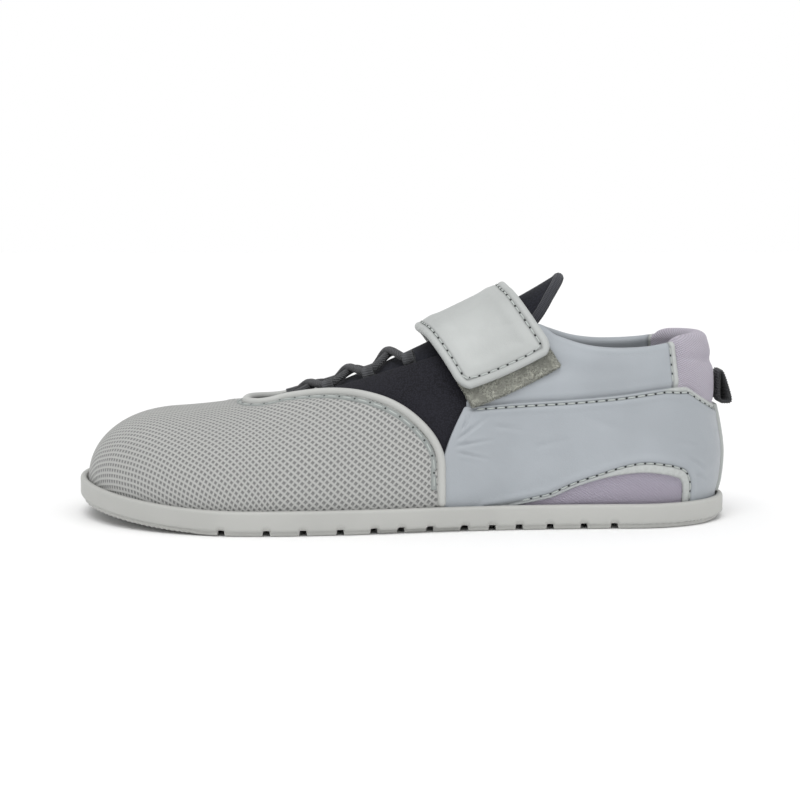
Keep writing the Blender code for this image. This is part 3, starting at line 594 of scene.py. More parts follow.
def stitch(path, normals, pitch=stitch_pitch, long=stitch_long, thick=stitch_thick,
           kind="thread", hole=hole_size):
    """Threads, evenly apart, along a path that lies on the surface, and a dark bead of painted
    shade in each hole.
    """
    run = running(path)
    count = max(1, int(round(run[-1] / pitch)))
    step = run[-1] / count

    def at(where, rows=path):
        return np.stack([np.interp(where, run, rows[:, k]) for k in range(3)], 1)

    def bars(kind, where, *sizes):
        along = unit(at(where + 0.0004) - at(where - 0.0004))
        beads(kind, at(where), along, at(where, normals), *sizes)

    bars(kind, (np.arange(count) + 0.5) * step, long * step / pitch, thick)
    # Dark beads between the threads paint the shade in the stitch holes
    bars("hole", np.arange(1, count) * step, hole, hole, 0.6)


def seam(place, length, offset, skin_chart=around, **sizes):
    stitch(*stand_off(skin_chart, place, length, offset), **sizes)


def add_seams():
    for kind, material, slot in (("thread", thread, "binding"),
                                 ("thread_painted_gap_shade", thread_painted_gap_shade, "dark_webbing"),
                                 ("hole", hole_painted_shade, "dark_textile")):
        solid = np.concatenate(SEAMS[kind])
        count, rings, sides = solid.shape[:3]
        bead = ring_faces(rings, sides)
        faces = [tuple(b * rings * sides + v for v in f) for b in range(count) for f in bead]
        add("seam_" + kind, solid, faces, material, slot)


# Materials


class Nodes:
    """A short way to write shader nodes."""

    def __init__(self, name):
        self.material = bpy.data.materials.new(name)
        self.material.use_nodes = True
        self.tree = self.material.node_tree

    def put(self, value, socket):
        if isinstance(value, (int, float, tuple)):
            socket.default_value = value
        elif value is not None:
            self.tree.links.new(value, socket)

    def node(self, kind, sockets=(), **values):
        """The outputs of a new node, made with these values and these sockets."""
        node = self.tree.nodes.new("ShaderNode" + kind)
        for key, value in values.items():
            setattr(node, key, value)
        for key, value in sockets:
            self.put(value, node.inputs[key])
        return node.outputs

    def math(self, operation, a, b=0.0):
        return self.node("Math", ((0, a), (1, b)), operation=operation)[0]

    def plus(self, a, b):
        return self.math("ADD", a, b)

    def minus(self, a, b):
        return self.math("SUBTRACT", a, b)

    def times(self, a, b):
        return self.math("MULTIPLY", a, b)

    def most(self, a, b):
        return self.math("MAXIMUM", a, b)

    def wave(self, value, pitch):
        return self.math("SINE", self.times(value, 2 * math.pi / pitch))

    def fold(self, value, pitch):
        """Distance from the middle of a stripe, 0.5 at its edges."""
        part = self.math("FRACT", self.times(value, 1 / pitch))
        return self.math("ABSOLUTE", self.minus(part, 0.5))

    def step(self, value, low, high, to_low=0.0, to_high=1.0):
        sockets = enumerate((value, low, high, to_low, to_high))
        return self.node("MapRange", sockets, interpolation_type="SMOOTHSTEP")[0]

    def mix(self, share, a, b):
        return self.node("Mix", (("Factor", share), (6, a), (7, b)), data_type="RGBA")[2]

    def tones(self, share, colour, low, high):
        return self.mix(share, toned(colour, low), toned(colour, high))

    def split(self, vector):
        return self.node("SeparateXYZ", ((0, vector),))[:3]

    def uv(self, name="cloth"):
        return self.split(self.node("UVMap", uv_map=name)[0])[:2]

    def place(self):
        return self.node("TexCoord")["Object"]

    def noise(self, scale, detail=3.0, roughness=0.5):
        return self.node("TexNoise", (("Vector", self.place()), ("Scale", scale),
                                      ("Detail", detail), ("Roughness", roughness)))[0]

    def cells(self, scale, feature="F1"):
        return self.node("TexVoronoi", (("Vector", self.place()), ("Scale", scale)),
                         feature=feature)[0]

    def bump(self, height, distance, strength, under=None):
        return self.node("Bump", (("Height", height), ("Distance", distance),
                                  ("Strength", strength), ("Normal", under)))[0]

    def finish(self, colour, roughness, normal=None, **fixed):
        shader = self.tree.nodes["Principled BSDF"]
        fixed.update(Base_Color=colour, Roughness=roughness, Normal=normal)
        for key, value in fixed.items():
            self.put(value, shader.inputs[key.replace("_", " ")])
        return self.material


def toned(colour, factor):
    return tuple(min(1.0, v * factor) for v in colour[:3]) + (1.0,)


def leather_material(name, colour, rim=None, roughness=0.46, grain=1.0):
    """Smooth finished leather, paler on a seam's rim, with shade painted into its groove."""
    n = Nodes(name)
    pores = n.step(n.cells(1500.0, "DISTANCE_TO_EDGE"), 0.0, 0.12)
    soft = n.noise(260.0, 4.0, 0.6)
    shade = n.tones(n.step(n.noise(35.0), 0.35, 0.65), colour, 0.94, 1.04)
    pale_share, shadow = n.uv("tone")
    if rim:
        fleck = n.step(n.noise(900.0, 3.0, 0.6), 0.35, 0.65)
        shade = n.mix(pale_share, shade, n.tones(fleck, rim, 0.93, 1.03))
    # Painted shade: the tone map's second value darkens the colour in grooves and seams
    shade = n.mix(n.times(shadow, 0.8), shade, toned(colour, 0.30))
    normal = n.bump(soft, 0.00035, 0.25 * grain, n.bump(pores, 0.00006, 0.30 * grain))
    rough = n.step(soft, 0.3, 0.7, roughness - 0.05, roughness + 0.06)
    return n.finish(shade, rough, normal, Coat_Weight=0.05, Coat_Roughness=0.4)


def rubber_material(name, colour):
    """Smooth rubber, with fine ribs under the toe and a zigzag under the heel."""
    n = Nodes(name)
    x, y, _ = n.split(n.place())
    cloud = n.noise(30.0)
    shade = n.tones(n.step(cloud, 0.35, 0.65), colour, 0.95, 1.03)
    heel = n.wave(n.plus(x, n.times(n.fold(y, zigzag_pitch), zigzag_reach)), heel_rib)
    behind = n.step(x, heel_ribs_end + 0.001, heel_ribs_end - 0.001)
    ahead = n.step(x, toe_ribs_start - 0.001, toe_ribs_start + 0.001)
    ribs = n.plus(n.times(heel, behind), n.times(n.wave(x, toe_rib), ahead))
    under = n.step(n.split(n.node("NewGeometry")["Normal"])[2], -0.5, -0.8)
    grain = n.bump(n.noise(2600.0, 2.0, 0.6), 0.00012, 0.30)
    normal = n.bump(n.times(ribs, under), 0.0003, 0.8, grain)
    return n.finish(shade, n.step(cloud, 0.3, 0.7, 0.50, 0.60), normal)


def lattice_material(name, colour, pit):
    """Diagonal threads with a soft pit between each four."""
    n = Nodes(name)
    u, v = (n.plus(way, n.times(n.noise(scale, 1.0), 0.10))
            for way, scale in zip(n.uv(), (70.0, 55.0)))
    a, b = (n.fold(way, lattice_pitch) for way in (n.plus(u, v), n.minus(u, v)))
    pits = n.step(n.most(a, n.times(b, 0.92)), 0.33, 0.17)
    crown = n.math("POWER", n.most(n.times(n.minus(0.5, a), 2.0), 0.0), 2.0)
    fibre = n.noise(4200.0, 2.0, 0.7)
    height = n.minus(n.minus(n.times(fibre, 0.12), pits), n.times(crown, 0.22))
    shade = n.mix(n.step(n.most(a, b), 0.34, 0.47), toned(colour, 0.84), colour)
    cloud = n.step(n.noise(40.0, 2.0), 0.35, 0.65, 0.0, 0.12)
    shade = n.mix(cloud, shade, toned(colour, 0.72))
    shade = n.mix(n.times(fibre, 0.25), shade, toned(colour, 0.76))
    return n.finish(n.mix(pits, shade, pit), 0.86, n.bump(height, 0.00036, 0.8),
                    Sheen_Weight=0.12, Sheen_Roughness=0.5)


def ribbed_material(name, colour, pitch, depth, dark=0.7, slant=0.0):
    """Fine ribs along the cloth's second direction, crossed by a finer twill."""
    n = Nodes(name)
    u, v = n.uv()
    rib = n.wave(n.plus(v, n.times(u, slant)), pitch)
    cross = n.wave(n.minus(u, n.times(v, 0.4)), 0.8 * pitch)
    height = n.plus(n.times(rib, 0.5), n.times(cross, 0.28))
    fibre = n.noise(3800.0, 2.0, 0.7)
    share = n.plus(n.times(n.step(height, -0.6, 0.6), 0.75), n.times(fibre, 0.25))
    cloud = n.step(n.noise(60.0), 0.35, 0.7, 0.0, 0.18)
    shade = n.mix(cloud, n.mix(share, toned(colour, dark), colour), toned(colour, dark))
    height = n.plus(height, n.times(fibre, 0.4))
    return n.finish(shade, 0.9, n.bump(height, depth, 0.8), Sheen_Weight=0.15,
                    Sheen_Roughness=0.5)


def knit_material(name, colour, scale=2200.0):
    """Small matt loops, paler in their middles."""
    n = Nodes(name)
    cells = n.cells(scale)
    shade = n.tones(n.step(cells, 0.1, 0.8), colour, 1.5, 0.55)
    cloud = n.step(n.noise(90.0, 3.0, 0.6), 0.4, 0.7, 0.0, 0.3)
    return n.finish(n.mix(cloud, shade, toned(colour, 1.5)), 0.92,
                    n.bump(cells, 0.0003, -0.6), Sheen_Weight=0.04, Sheen_Roughness=0.5,
                    Specular_IOR_Level=0.25)


def pile_material(name, colour):
    """Speckled fibres: olive grey with darker and paler tufts."""
    n = Nodes(name)
    speck = n.noise(1500.0, 3.0, 0.8)
    shade = n.tones(n.step(speck, 0.35, 0.62), colour, 0.45, 1.35)
    tuft = n.step(n.noise(260.0, 3.0, 0.7), 0.40, 0.62)
    return n.finish(n.mix(tuft, shade, toned(colour, 0.75)), 0.95, n.bump(speck, 0.0004, 0.7))


rim_pale = (0.455, 0.475, 0.465, 1.0)
rubber = rubber_material("sole_rubber", (0.440, 0.443, 0.424, 1.0))
vamp_cloth = lattice_material("vamp_lattice", (0.455, 0.458, 0.445, 1.0),
                              (0.200, 0.203, 0.200, 1.0))
blue_leather = leather_material("blue_grey_leather", (0.350, 0.377, 0.405, 1.0), rim_pale)
strap_grey = leather_material("strap_leather", (0.440, 0.458, 0.450, 1.0), None, 0.48)
tape_grey = leather_material("heel_tape_leather", (0.430, 0.452, 0.440, 1.0), None, 0.5)
band_grey = leather_material("binding_leather", (0.465, 0.472, 0.455, 1.0), None, 0.5, 0.5)
strip_grey = leather_material("seam_strip", (0.270, 0.290, 0.282, 1.0), None, 0.6, 0.6)
# The roll and the window are one lilac cloth: the roll's copy is paler, painting the light on top
# of the collar, while its coarser ribs are the roll's own
lilac_pad_lit = ribbed_material("lilac_rib_lit", (0.560, 0.520, 0.605, 1.0), 0.062, 0.00026, 0.66, 0.35)
lilac = ribbed_material("lilac_twill", (0.475, 0.435, 0.530, 1.0), 0.046, 0.0002, 0.66, 0.35)
lining = knit_material("dark_lining", (0.013, 0.013, 0.018, 1.0))
# Dark cloth, darkened further to paint the shade the tongue lies in inside the throat
tongue_cloth_with_shade = knit_material("tongue_textile", (0.013, 0.014, 0.020, 1.0), 1500.0)
insole_cloth = knit_material("insole_textile", (0.030, 0.031, 0.038, 1.0), 1200.0)
edge_tape = ribbed_material("edge_tape", (0.040, 0.042, 0.052, 1.0), 0.07, 0.0002)
webbing = ribbed_material("dark_webbing", (0.085, 0.088, 0.095, 1.0), 0.085, 0.0003, 0.45)
elastic = ribbed_material("elastic_cord", (0.060, 0.062, 0.068, 1.0), 0.09, 0.0003, 0.5, 0.7)
pile = pile_material("loop_pile", (0.430, 0.435, 0.385, 1.0))
thread = ribbed_material("seam_thread", (0.560, 0.600, 0.580, 1.0), 0.03, 0.0001, 0.6)
# Dark grey thread, darkened also to paint the shade in the gaps beside the heel strip
thread_painted_gap_shade = ribbed_material("thread_painted_gap_shade", (0.130, 0.140, 0.140, 1.0), 0.03, 0.0001, 0.6)
# Near black beads that stand in for the shade inside stitch holes: painted shade
hole_painted_shade = knit_material("stitch_hole_painted_shade", (0.045, 0.050, 0.050, 1.0), 2500.0)

# Lines, heights and outlines that several pieces share

seam_end = float(place_at(seam_place - 0.0004))
window_first, window_last = (place_of(WINDOW_TOP[k][0]) for k in (0, -1))


def window_length(place):
    return cup_depth + window_curve(share_at(place)) * window_height


def window_outline():
    fine = np.linspace(window_first, window_last, 110)
    top = np.stack([fine, window_length(fine)], 1)
    return np.concatenate([[(window_first, 0.0)], top, [(window_last + 0.0100, 0.0012)]])


def window_rim(share):
    return blend(window_rim_back, window_rim_front, (share - 0.125) / 0.10)


def quarter_top(place):
    return np.minimum(seam_length(place), quarter_front(place)) - gap / 2


def top_rim(place):
    return blend(back_rim, front_rim, (share_at(place) - 0.075) / 0.030)


def creases(place, length):
    relief = 0 * place
    for (a, b, depth, width) in CREASES:
        away = line_distance(place, length, (a, b))
        t = (((place - a[0]) * (b[0] - a[0]) + (length - a[1]) * (b[1] - a[1]))
             / ((b[0] - a[0]) ** 2 + (b[1] - a[1]) ** 2))
        fade = np.clip(1.15 - t, 0, 1) * np.clip(0.3 + t * 3, 0, 1)
        relief -= depth * fade * dent(away, 0.5 * width)
        relief += 0.45 * depth * fade * dent(away - width, 0.7 * width)
    return relief


def base_outline(places, offset, height=0.0):
    """The last's outline at a height above its base, x counted from the heel's end."""
    points, _ = stand_off(around, places, length_at_height(places, height), offset)
    return points[:, :2] + np.array([heel_centre, 0])


def loft(rows):
    """Points and faces through closed rows of points, one inside the other."""
    points = np.concatenate(rows) - np.array([heel_centre, 0, 0])
    return points, ring_faces(len(rows), len(rows[0]), False)


# Sole


def sole_columns(outline, dense, sign):
    """One side's columns from heel to toe: the place and the spine's x of each."""
    half = dense * sign >= 0
    places, line = np.abs(dense[half]), outline[half, 0]
    rank = np.argsort(places)
    places, line = places[rank], line[rank]
    heel_stop, toe_stop = np.interp([heel_turn, sole_turn], line, places)
    ahead = np.array([0.3, 0.6, 0.85, 1, 1.12, 1.25, 1.5, 1.9])
    near = np.concatenate([-ahead[::-1], [0], ahead]) * groove_width / 2
    plain = np.arange(heel_turn, sole_turn, 0.0014)
    clear = np.abs(plain[:, None] - GROOVES).min(1) > 0.0024
    cuts = (GROOVES[:, None] + near).ravel()
    middle = np.sort(np.concatenate([cuts, plain[clear], [sole_turn]]))
    return ([(p, heel_turn) for p in np.linspace(0, heel_stop, 90)[:-1]]
            + [(float(np.interp(x, line, places)), x) for x in middle]
            + [(p, sole_turn) for p in np.linspace(toe_stop, half_round, 130)[1:]])


def build_outsole():
    dense = np.linspace(-half_round, half_round, 1201)
    outline = base_outline(dense, base_inset)
    lateral, medial = (sole_columns(outline, dense, sign) for sign in (1, -1))
    whole = lateral + [(-p, x) for p, x in medial[-2:0:-1]]
    places, spine_x = np.array(whole, float).T
    spine = np.stack([spine_x, centre_line(spine_x)], 1)
    along_side = (spine_x > heel_turn) & (spine_x < sole_turn)
    x = np.where(along_side, spine_x, base_outline(places, base_inset)[:, 0])
    off = np.abs(x[:, None] - GROOVES).min(1)
    off = np.where(along_side, off, 1)
    cut = smooth_step((1.08 - off / (groove_width / 2)) / 0.25)
    arch = np.sqrt(np.clip(1 - (off / (0.62 * groove_width)) ** 2, 0, 1))
    ribs = np.where(x > sole_turn, 0.5 + 0.5 * np.cos(x * 2 * math.pi / toe_rib), 0)
    proud = (smooth_step((x - proud_start) / proud_fade)
             * smooth_step((proud_end - x) / proud_fade))
    inset = tread_flush + (tread_inset - tread_flush) * proud

    def ring(depth, level, share=1.0, tread=0.0, scoop=0.0):
        flat = spine + (base_outline(places, base_inset - depth) - spine) * share
        low = level + (groove_depth - level) * cut * tread
        ribbed = (tread > 0) * (share > 0.9) * (level < 0.001)
        low = low + scoop * arch + rib_depth * ribs * ribbed
        low = low + bevel(flat[:, 0]) * tread
        return np.column_stack([flat, low + spring(flat[:, 0])])

    turn = np.linspace(0, math.pi / 2, 5)[1:]
    rows = [ring(inset, 0.0, share, 1) for share in (0.0, 0.3, 0.55, 0.75, 0.88)]
    rows += [ring(inset + depth, level, 1.0, 1) for depth, level in (
        (0.0007, 0.0), (0.0003, 0.00008), (0.00008, 0.0003), (0, 0.0007), (0, tread_rise))]
    rows += [ring(sole_round * (1 - math.sin(t)) * 0.9, tread_rise + sole_round * (1 - math.cos(t)),
                  1.0, math.cos(t) ** 2, scoop_depth * math.sin(t)) for t in turn]
    rows += [ring(0.0, level) for level in (
        tread_rise + sole_round + 0.0016, 0.0045, sole_side - sole_round)]
    rows += [ring(sole_round * (1 - math.cos(t)), sole_side - sole_round * (1 - math.sin(t)))
             for t in turn]
    rows += [ring(sole_rim - 0.0003, sole_side), ring(sole_rim, sole_side - 0.0003)]
    rows += [ring(sole_rim, sole_floor, share) for share in (1.0, 0.6, 0.0)]
    outward(add("outsole_rubber", *loft(rows), rubber, "rubber", ["outsole"]))


def outward(item):
    work = bmesh.new()
    work.from_mesh(item.data)
    bmesh.ops.recalc_face_normals(work, faces=work.faces)
    work.to_mesh(item.data)
    work.free()


def build_insole():
    places = np.linspace(-half_round, half_round, 261)[:-1]
    spine = round_rays(places, 0 * places)[0][:, :2]
    shape = [(0, 0.0), (0, 0.7), (0, 1.0)]
    shape += [(1 - 0.35 * (1 - t) ** 2, 1 - 0.018 * t) for t in (0, 0.3, 0.6, 1.0)]
    shape += [(1.0, share) for share in np.linspace(0.94, 0.0, 14)]
    rows = []
    for high, share in shape:
        edge = base_outline(places, -wall - 2 * gap, high * insole_thickness)
        flat = spine + (edge - spine) * share
        dish = (0.0009 * smooth_step((share - 0.55) / 0.4) - 0.0004) * (high == 1.0)
        z = spring(flat[:, 0]) + sole_floor + gap + high * insole_thickness + dish
        rows.append(np.column_stack([flat, z]))
    cloth = np.concatenate(rows)[:, :2] * 100
    outward(add("insole_pad", *loft(rows), insole_cloth, "dark_textile", ["insole"], cloth))


# Upper


def build_lining():
    ring = np.linspace(-half_round, half_round, 301)[:-1]
    top = edge_length(ring)[:, None] - edge_round
    share = 1 - (1 - np.linspace(0, 1, 46)) ** 1.15
    turns = np.linspace(0, math.pi, 7)[1:-1]
    rise = gap + (top - gap) * share
    length = np.concatenate([rise, top + edge_round * np.sin(turns), rise[:, ::-1]], axis=1)
    offset = np.concatenate([0 * share, -wall / 2 + wall / 2 * np.cos(turns), -wall + 0 * share])
    sheet("lining_wall", ring, length, offset, lining, "dark_textile", ["upper"], closed=True)


def build_vamp():
    start = float(place_at(seam_place + 0.0004))
    columns = np.concatenate([axis(start, side_end, 90),
                              np.linspace(side_end, half_round, 111)[1:]])
    columns = np.concatenate([columns, 2 * half_round - columns[-2::-1]])
    wrapped = (columns + half_round) % (2 * half_round) - half_round
    high = vamp_edge(wrapped) + 0.0010
    share = np.concatenate([np.linspace(0, 0.93, 70), [0.95, 0.965, 0.98, 0.99, 0.996, 1.0]])
    length = between(gap, high, share)
    place = np.repeat(wrapped[:, None], len(share), axis=1)
    from_top = high[:, None] - length
    from_end = np.minimum(columns - start, 2 * half_round - start - columns)[:, None]
    thick = (leather - 0.00005) * rounded(from_top, 0.0008) * rounded(from_end, edge_round)
    thick += 0.00022 * dent(from_top - 0.0055, 0.0016)
    thick -= 0.00022 * dent(np.minimum(from_top, from_end) - 0.0024, 0.0009)
    sheet("vamp_textile", place, length, gap + thick, vamp_cloth, "vamp_textile", ["vamp"],
          draped(place, length))


def build_quarter():
    columns = np.unique(np.round(np.concatenate([
        axis(-seam_end, 0.0, 130)[:-5], axis(0.0, window_first, 60)[5:-5],
        np.linspace(window_first - 0.0006, window_first + 0.006, 40),
        np.linspace(window_first + 0.0062, seam_end - 0.0012, 150),
        axis(seam_end - 0.0011, seam_end, 2)[-6:]]), 7))
    ahead = smooth_step((columns - window_last) / 0.008)
    low = np.where(columns < window_first, cup_depth - tuck,
                   window_length(columns) - 0.0014 * ahead)
    top = quarter_top(columns)
    middle = np.minimum(cup_depth + window_height + 0.0036, low + 0.6 * (top - low))
    share = np.concatenate([[0, 0.008, 0.024, 0.05, 0.09], np.linspace(0.14, 1, 36)])
    above = np.concatenate([np.linspace(0, 0.90, 44)[1:], [0.918, 0.935, 0.950, 0.963, 0.975,
                                                          0.985, 0.992, 0.997, 1.0]])
    length = np.concatenate([between(low, middle, share), between(middle, top, above)], 1)
    place = np.repeat(columns[:, None], length.shape[1], axis=1)
    where, lateral = share_at(place), place > 0
    rim, window = top_rim(place), window_rim(where)
    from_window = line_distance(place, length, window_outline())
    from_top = top[:, None] - length
    from_end = (seam_end - np.abs(columns))[:, None]
    thick = leather * rounded(from_top, edge_round) * rounded(from_end, edge_round)
    thick = thick * np.where(lateral, rounded(from_window + 0.00004, edge_round), 1)
    sewn = 1 - smooth_step((where - 0.385) / 0.02)
    relief = creases(place, length) + sewn * groove(from_top - rim, 0.00022, 0.0014, 0.0008)
    relief += lateral * groove(from_window - window, 0.00024, 0.0015, 0.0009)
    relief += lateral * 0.00016 * dent(from_window - 0.5 * window, 0.5 * window)
    keep = rounded(np.minimum(from_top, from_end), 0.0009)
    back = 1 - smooth_step((where - 0.085) / 0.03)
    frame_back = 1 - 0.35 * smooth_step((where - 0.15) / 0.1)
    tone = np.maximum(paler(from_top - rim) * (0.12 + 0.88 * back) * sewn,
                      paler(from_window - window) * lateral * frame_back)
    # shadow is shade painted into the grooves of the top seam and the window's seam
    shadow = np.maximum(sewn * dent(from_top - rim, seam_wide),
                        lateral * dent(from_window - window, seam_wide))
    sheet("quarter_leather", place, length, gap + thick + relief * keep, blue_leather,
          "leather", ["quarter"], tone=(tone, shadow))
    last = place_of(0.388)
    line = np.linspace(-last, last, 460)
    seam(line, quarter_top(line) - top_rim(line), seam_level)
    outline = window_outline()[1:-1]
    outline = moved(outline, window_rim(share_at(outline[:, 0])))
    outline = outline[outline[:, 1] > cup_depth + 0.0005]
    rise = np.linspace(cup_depth + 0.0003, outline[0, 1], 7)[:-1]
    outline = np.concatenate([np.stack([outline[0, 0] + 0 * rise, rise], 1), outline])
    seam(*outline.T, seam_level)


def build_window():
    columns = np.linspace(window_first - 0.0004, window_last + 0.0004, 90)
    share = np.linspace(0, 1, 24)
    top = window_length(np.clip(columns, window_first, window_last)) + 0.0004
    length = between(gap, top, share)
    puff = 0.00045 * np.sin(np.pi * share) * np.sin(np.pi * np.linspace(0, 1, 90))[:, None]
    sheet("window_textile", columns, length, gap + 0.45 * leather + puff, lilac,
          "lilac_textile", ["side_window"])


def build_collar_front(side, node):
    """Leather above the cross seam, rolled over the collar's edge."""
    first = place_of(collar_back)
    columns = axis(first, place_of(0.405), 120, 0.0006)
    low = seam_length(side * columns) + gap / 2 - tuck
    top = quarter_front(side * columns)
    fits = top - low > 0.0018
    columns, low, top = columns[fits], low[fits], top[fits]
    share = np.concatenate([[0, 0.01, 0.03, 0.06], np.linspace(0.09, 1.0, 44)])
    length = between(low, top, share)
    rolled = smooth_step((top - edge_length(side * columns) + 0.0012) / 0.0010)[:, None]
    bend = np.linspace(0, math.pi, 9)[1:]
    radius = (leather + gap + wall + 0.0004) / 2
    over = length[:, -1:] + radius * np.sin(bend) * rolled
    down = over[:, -1:] - np.linspace(0.0006, 0.0045, 6) * rolled
    from_low, from_top = length - low[:, None], top[:, None] - length
    from_back = (columns - first)[:, None]
    from_seam = from_back - collar_rim
    swell = smooth_step((from_seam - 0.0006) / 0.0040)
    body = gap + leather - 0.00075 * (1 - smooth_step((from_low - 0.0006) / 0.0022))
    body += 0.00040 * dent(from_low - 0.0057, 0.0025) * swell
    body += 0.00045 * dent(from_top - 0.0035, 0.0028) * swell
    body -= 0.0009 * (1 - rounded(from_back, 0.0007))
    body += 0.00022 * dent(from_back - 0.0014, 0.0011)
    body += groove(from_seam, 0.00024, 0.0016, 0.0010)
    arc = body[:, -1:] - radius + radius * np.cos(bend) * rolled + (1 - rolled) * (
        radius - bend / math.pi * (gap + leather - 0.0001))
    offset = np.concatenate([body, arc, arc[:, -1:] + 0 * down], axis=1)
    length = np.concatenate([length, over, down], axis=1)
    # Painted shade in the back seam's groove and in a thin line where the leather comes out from
    # under the quarter
    shadow = dent(from_seam, seam_wide) + 0.5 * dent(length - low[:, None] - 0.0012, 0.0004)
    sheet(node + "_leather", side * columns, length, offset, blue_leather, "leather", [node],
          tone=(paler(from_seam) + 0 * length, np.minimum(shadow, 1)))
    where = side * (first + collar_rim)
    foot, head = (float(line(np.array([where]))[0]) for line in (seam_length, edge_length))
    seam(where, np.linspace(foot + 0.0012, head + 0.0004, 30), seam_level)


def build_collar_roll():
    """Padded textile that rises in a bulge, dips and rolls over into the shoe."""
    last = place_of(collar_back) - gap
    columns = axis(-last - 0.0010, last + 0.0010, 90, 0.0012)
    share = np.concatenate([[-0.08, 0, 0.008, 0.02, 0.04, 0.08], np.linspace(0.12, 1.0, 40)])
    length = between(seam_length(columns) + gap, edge_length(columns), share)
    ends = rounded(last - np.abs(columns), 0.0060)[:, None]
    swell = 0.12 + 0.88 * np.sin(np.pi * 0.72 * np.maximum(share, 0)) ** 0.70
    puff = collar_puff * swell * 1.12 - 0.00075 * dent(share - 0.66, 0.10)
    body = gap + 0.5 * leather + puff * (0.02 + 0.98 * ends)
    bend = np.linspace(0, math.pi, 15)[1:]
    radius = (body[:, -1:] + wall + 0.0014) / 2
    over = length[:, -1:] + 0.92 * radius * np.sin(bend)
    fall = np.linspace(0, 1, 14)
    down = over[:, -1:] - (0.0008 + 0.0117 * fall)
    sag = 0.0010 * np.sin(np.pi * fall)
    offset = np.concatenate([body, body[:, -1:] - radius + radius * np.cos(bend),
                             body[:, -1:] - 2 * radius - sag], axis=1)
    length = np.concatenate([length, over, down], axis=1)
    item = sheet("collar_padding", columns, length, offset, lilac_pad_lit, "lilac_textile",
                 ["collar_roll"])


def build_binding():
    place, length = (np.concatenate([a, b[-2::-1]])
                     for a, b in zip(binding_side(1, 8), binding_side(-1, 8)))
    foot = cup_depth - 0.0001
    place = np.concatenate([place[:1], place, place[-1:]])
    length = np.concatenate([[foot], length, [foot]])
    path, normals = stand_off(around, place, length, gap)
    turn = np.linspace(-0.15 * math.pi, 1.15 * math.pi, 15)
    section = np.stack([0.53 * binding_width * np.cos(turn),
                        binding_height * np.maximum(0.42 + 0.58 * np.sin(turn), 0)], 1)
    run = running(path)
    swell = np.maximum(rounded(np.minimum(run, run[-1] - run), 0.0005), 0.72)
    swept("throat_band", path, normals, section * swell[:, None, None], band_grey, "binding",
          ["throat_binding"])
    # A flat strip with long stitches on the vamp's side of the band
    reach = binding_width / 2 + strip_width / 2 + 0.0001
    section = [(-0.5, -0.6), (-0.42, 0.6), (-0.2, 1), (0.2, 1), (0.42, 0.6), (0.5, -0.6)]
    section = np.array(section) * (strip_width, strip_height)
    for word, side in SIDES:
        line = moved(np.stack(binding_side(side, 8), 1), -side * reach)[10:]
        path, normals = stand_off(around, *line.T, gap + leather - 0.00022)
        swept("vamp_strip_" + word, path, normals, section, strip_grey, "binding")
        stitch(path + normals * (strip_height - 0.0001), normals, **STRIP_STITCH)


# Strap, pile pad and tongue are sheets across the shoe


def strap_middle(girth):
    return strap_place - strap_lean * (np.hypot(girth, strap_bend) - strap_bend)


def strap_seat(girth):
    on_leather = 2 * gap + leather
    return blend(on_leather, on_leather + pad_thickness + gap, (girth - 0.004) / 0.010)


EDGE = np.array([0, 0.002, 0.008, 0.018, 0.034])


def shares_across(count):
    return np.concatenate([-0.5 + EDGE, np.linspace(-0.45, 0.45, count), (0.5 - EDGE)[::-1]])


def closed_sheet(name, top, bottom, normals, uv, material, slot, nodes, shadow=None):
    """A sheet with an upper and an under side that meet at its edges."""
    faces = facing(top, grid_faces(*top.shape[:2]), normals)
    under = [tuple(top.size // 3 + v for v in reversed(f)) for f in faces]
    tone = None if shadow is None else (0 * np.tile(shadow, 2), np.stack([shadow, shadow]))
    return add(name, np.stack([top, bottom]), faces + under, material, slot, nodes,
               np.stack([uv, uv]), tone)


def over_sheet(name, girth, share, width, inner, outer, round_edge, material, slot, node,
               relief=None):
    wide = width(girth)[:, None]
    x = strap_middle(girth)[:, None] + share * wide
    g = np.repeat(girth[:, None], len(share), axis=1)
    from_end = np.minimum(girth - girth[0], girth[-1] - girth)[:, None]
    away = np.minimum((0.5 - np.abs(share)) * wide, from_end)
    edge = rounded(away, round_edge)
    half, centre = (outer(g) - inner(g)) / 2, (outer(g) + inner(g)) / 2
    lift = relief(g, x, away) if relief else 0
    top, normals = stand_off(across, x, -g, centre + half * edge + lift)
    bottom, _ = stand_off(across, x, -g, centre - half * edge)
    # The strap's shadow paints shade into the groove along its stitched rim
    shadow = dent(away - strap_rim, seam_wide) if relief else None
    closed_sheet(name, top, bottom, normals, straight(x, g), material, slot, [node], shadow)


def strap_breadth(girth):
    from_end = np.clip((strap_free - girth) / 0.005, 0, 1)
    return strap_width - 0.0066 * (1 - np.sqrt(1 - (1 - from_end) ** 2))


def strap_face(girth):
    return strap_seat(girth) + strap_thickness


def strap_relief(g, x, away):
    return (-0.00036 * dent(away - strap_rim, 0.00045)
            + 0.00030 * dent(away - strap_rim - 0.0030, 0.0018)
            - 0.00022 * dent(g + 0.012, 0.0020)
            - 0.00018 * dent(g - 0.009 - 0.2 * (x - 0.078), 0.0015)
            - 0.00014 * dent(g - 0.020 + 0.3 * (x - 0.07), 0.0012))


